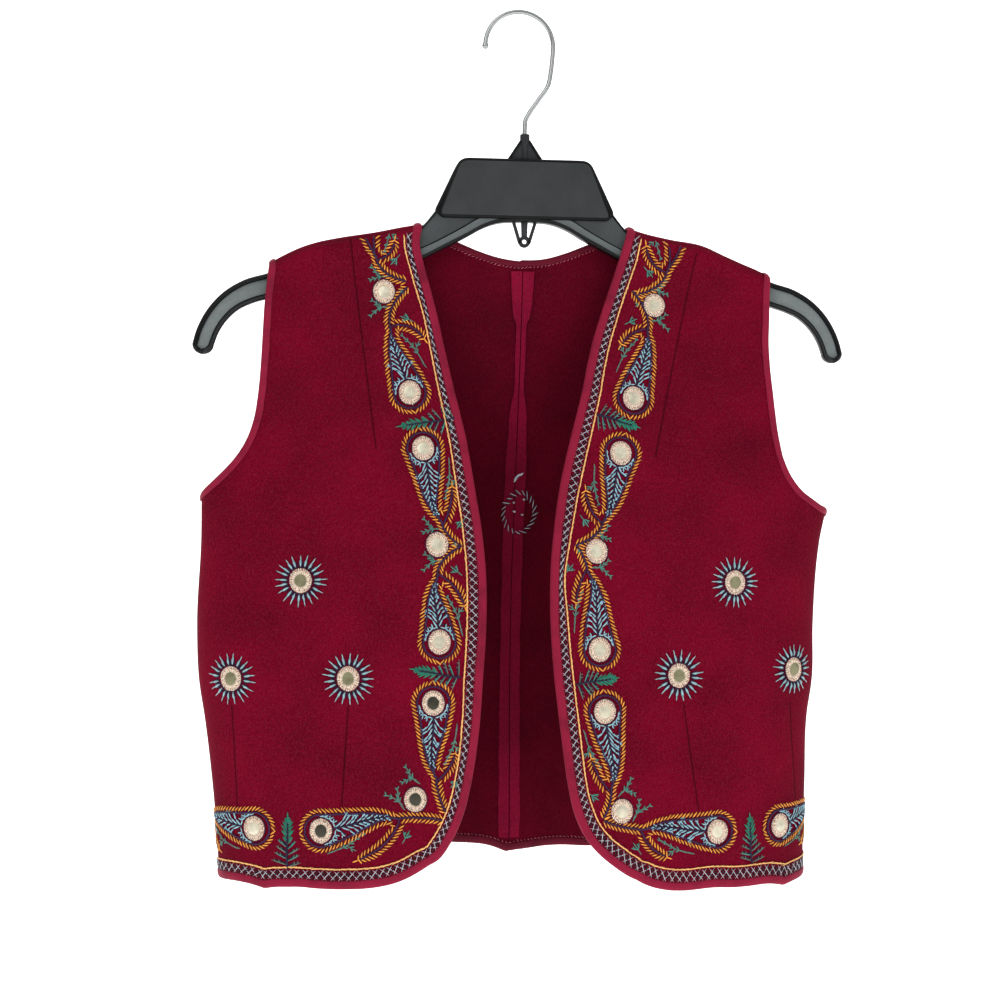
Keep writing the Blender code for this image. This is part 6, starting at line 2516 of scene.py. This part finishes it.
    def build_plate(self) -> None:
        """Makes the front plate, flat with a rounded glossy edge."""
        self.slab(self.rounded(self.plate, 6.5, 9), self.plate_layers, 0.0, 0.5)
        self.slab(self.rounded(self.frame, 6.0, 9), ((0.7, 4.3), (0.0, 3.6), (0.0, -3.6), (0.7, -4.3)), 0.0, 0.0)

    def build_neck(self) -> None:
        """Makes the socket for the wire and the webbed gusset below it."""
        self.slab(np.array(self.gusset), ((0.0, 1.1), (0.0, -1.1)), 0.3, 0.36)
        for side in (-1, 1):
            self.beam((side * 2.6, -83.0), (side * 11.4, -96.6), (1.5, 1.7), 2.3, 0.0)
        rings = [[(r * x, r * y, z) for x, y in on_circle(turns(24))] for r, z in self.socket]
        self.shell(np.array(rings), 0.3, 0.0)

    def build_loop(self) -> None:
        """Makes the small loop under the bar: two legs, a middle bar and a round end with a hole."""
        for side in (-1, 1):
            self.beam((side * 8.0, -134.0), (side * 2.9, -150.6), (2.0, 2.2), 1.3, 0.3)
        self.beam((0.0, -134.0), (0.0, -147.4), (4.6, 3.6), 1.1, 0.36)
        turn = np.linspace(0, 2 * math.pi, 32, endpoint=False)
        rings = [[(r * math.cos(t), y, self.loop_height + r * math.sin(t)) for r, y in self.loop_section] for t in turn]
        self.shell(np.array(rings), 0.3, closed=True)

    def route(self) -> Array:
        """The middle of the wire, from the ball at its tip to the socket.

        Returns:
            The line's points.
        """
        angles = np.radians(np.linspace(self.tip_angle, self.shoulder_angle, 60))
        centre = -math.sqrt((self.radius - self.wire) ** 2 - self.offset**2)
        arc = np.stack([self.offset + self.radius * np.cos(angles), centre + self.radius * np.sin(angles)], axis=-1)
        return curve(np.concatenate([arc, self.stem]), 1.0)

    def build_hook(self, sides: int = 20) -> None:
        """Sweeps the wire along its route, with a rounded ball at the tip.

        Args:
            sides: the number of points round the wire.
        """
        line = self.route()
        place = np.stack([line[:, 0], np.zeros(len(line)), line[:, 1]], axis=-1)
        ahead = unit(np.gradient(place, axis=0))
        side = np.array([0.0, 1.0, 0.0])
        up = np.cross(ahead, side)
        run = length_along(place)
        ball = self.ball * np.sqrt(np.clip(1 - ((run - self.ball) / self.ball) ** 2, 0.03, 1))
        size = np.where(run < 1.8 * self.ball, np.maximum(ball, np.where(run > self.ball, self.wire, 0)), self.wire)
        angle = turns(sides)
        around = np.cos(angle)[:, None] * side + np.sin(angle)[:, None] * up[:, None]
        rings = place[:, None] + size[:, None, None] * around
        mesh = faces_out(mesh_of("hook_wire", rings.reshape(-1, 3), loft_faces(len(line), sides, closed=False)))
        hook = new_object("hook_wire", mesh, WireFinish().build())
        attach(hook, "root")
        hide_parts("hanger_hook")


@dataclass
class Studio:
    """A pale floor that sweeps up behind, soft lights and the camera."""

    floor: float = -0.80
    behind: float = 1.7
    sweep: float = 0.9
    lens: float = 73.915
    place: tuple[float, float, float] = (-0.1892, -1.3387, -0.3194)
    yaw: float = 7.41
    roll: float = 0.325
    # Name, place, size and power.
    lights: tuple = (
        ("key", (-0.9, -1.5, 1.0), 1.6, 15.0), ("fill", (1.3, -1.3, 0.3), 1.8, 7.0), ("top", (0.0, 0.1, 1.5), 1.8, 7.0),
    )

    def build(self) -> None:
        """Makes the sweep, the world, the lights and the camera."""
        self.build_sweep()
        self.build_world()
        for light in self.lights:
            self.add_light(*light)
        self.build_camera()
        bpy.context.scene.view_settings.view_transform = "Standard"

    def build_sweep(self) -> None:
        """Makes the floor and backdrop as one curved sheet."""
        start, arc = self.behind - self.sweep, np.linspace(0.1, math.pi / 2, 14)
        bent = [(start + self.sweep * math.sin(a), self.sweep * (1 - math.cos(a))) for a in arc]
        profile = [(-3.0, 0.0), (start, 0.0), *bent, (self.behind, 4.0)]
        points = [(x / MM, y / MM, (self.floor + z) / MM) for y, z in profile for x in (-4.0, 4.0)]
        faces = [[2 * k, 2 * k + 1, 2 * k + 3, 2 * k + 2] for k in range(len(profile) - 1)]
        new_object("sweep", mesh_of("sweep", np.array(points), faces), PaperFinish().build())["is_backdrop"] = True

    def build_world(self) -> None:
        """Lights the scene evenly from all round."""
        world = bpy.data.worlds.new("studio")
        bpy.context.scene.world = world
        world.use_nodes = True
        back = world.node_tree.nodes["Background"]
        back.inputs["Color"].default_value = srgb("#FFFFFF")
        back.inputs["Strength"].default_value = 0.4

    def add_light(self, name: str, place: tuple[float, float, float], size: float, watts: float) -> None:
        """Adds a soft square light that faces the vest.

        Args:
            name: its name.
            place: where it is, in metres.
            size: the length of its side.
            watts: its power.
        """
        light = bpy.data.lights.new(name, "AREA")
        light.size, light.energy = size, watts
        obj = bpy.data.objects.new(name, light)
        away = Vector(place) - Vector((0.0, 0.0, -0.35))
        obj.matrix_world = Matrix.Translation(place) @ away.to_track_quat("Z", "Y").to_matrix().to_4x4()
        bpy.context.scene.collection.objects.link(obj)
        obj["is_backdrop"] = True

    def build_camera(self) -> None:
        """Sets the camera up in front, a little to the wearer's right."""
        yaw, roll = math.radians(self.yaw), math.radians(self.roll)
        ahead = Vector((math.sin(yaw), math.cos(yaw), 0.0))
        right, up = Vector((math.cos(yaw), -math.sin(yaw), 0.0)), Vector((0.0, 0.0, 1.0))
        x_axis = math.cos(roll) * right + math.sin(roll) * up
        y_axis = -math.sin(roll) * right + math.cos(roll) * up
        turn = Matrix((x_axis, y_axis, -ahead)).transposed().to_4x4()
        data = bpy.data.cameras.new("camera")
        data.lens, data.sensor_width, data.clip_start = self.lens, 36.0, 0.05
        camera = bpy.data.objects.new("camera", data)
        camera.matrix_world = Matrix.Translation(self.place) @ turn
        bpy.context.scene.collection.objects.link(camera)
        bpy.context.scene.camera = camera


CREASES = (
    Crease(Face.FRONT, (-130.0, -330.0), (-120.0, -520.0), -1.6, 16.0),
    Crease(Face.FRONT, (-160.0, -260.0), (-100.0, -300.0), 1.2, 12.0),
    Crease(Face.FRONT, (70.0, -330.0), (90.0, -520.0), -1.4, 15.0),
    Crease(Face.FRONT, (150.0, -290.0), (100.0, -320.0), 1.2, 12.0),
    Crease(Face.BACK, (-60.0, -260.0), (-90.0, -540.0), 1.8, 22.0),
    Crease(Face.BACK, (75.0, -280.0), (80.0, -540.0), 1.6, 20.0),
)


def as_lists(value: object) -> object:
    """Bounds as plain lists of numbers.

    Args:
        value: numbers, nested to any depth.

    Returns:
        The same numbers.
    """
    if isinstance(value, (int, float)):
        return float(value)
    return [as_lists(part) for part in value]


def main() -> None:
    """Builds the scene."""
    logging.basicConfig(level=logging.INFO)
    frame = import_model()
    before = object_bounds()
    LOG.info("frame: %s", type(frame).__name__)
    Vest(BodyForm(creases=CREASES)).build()
    Hanger().build()
    Studio().build()
    bpy.context.view_layer.update()
    {"frame": as_lists(before), "scene": as_lists(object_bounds())}


if __name__ == "__main__":
    main()
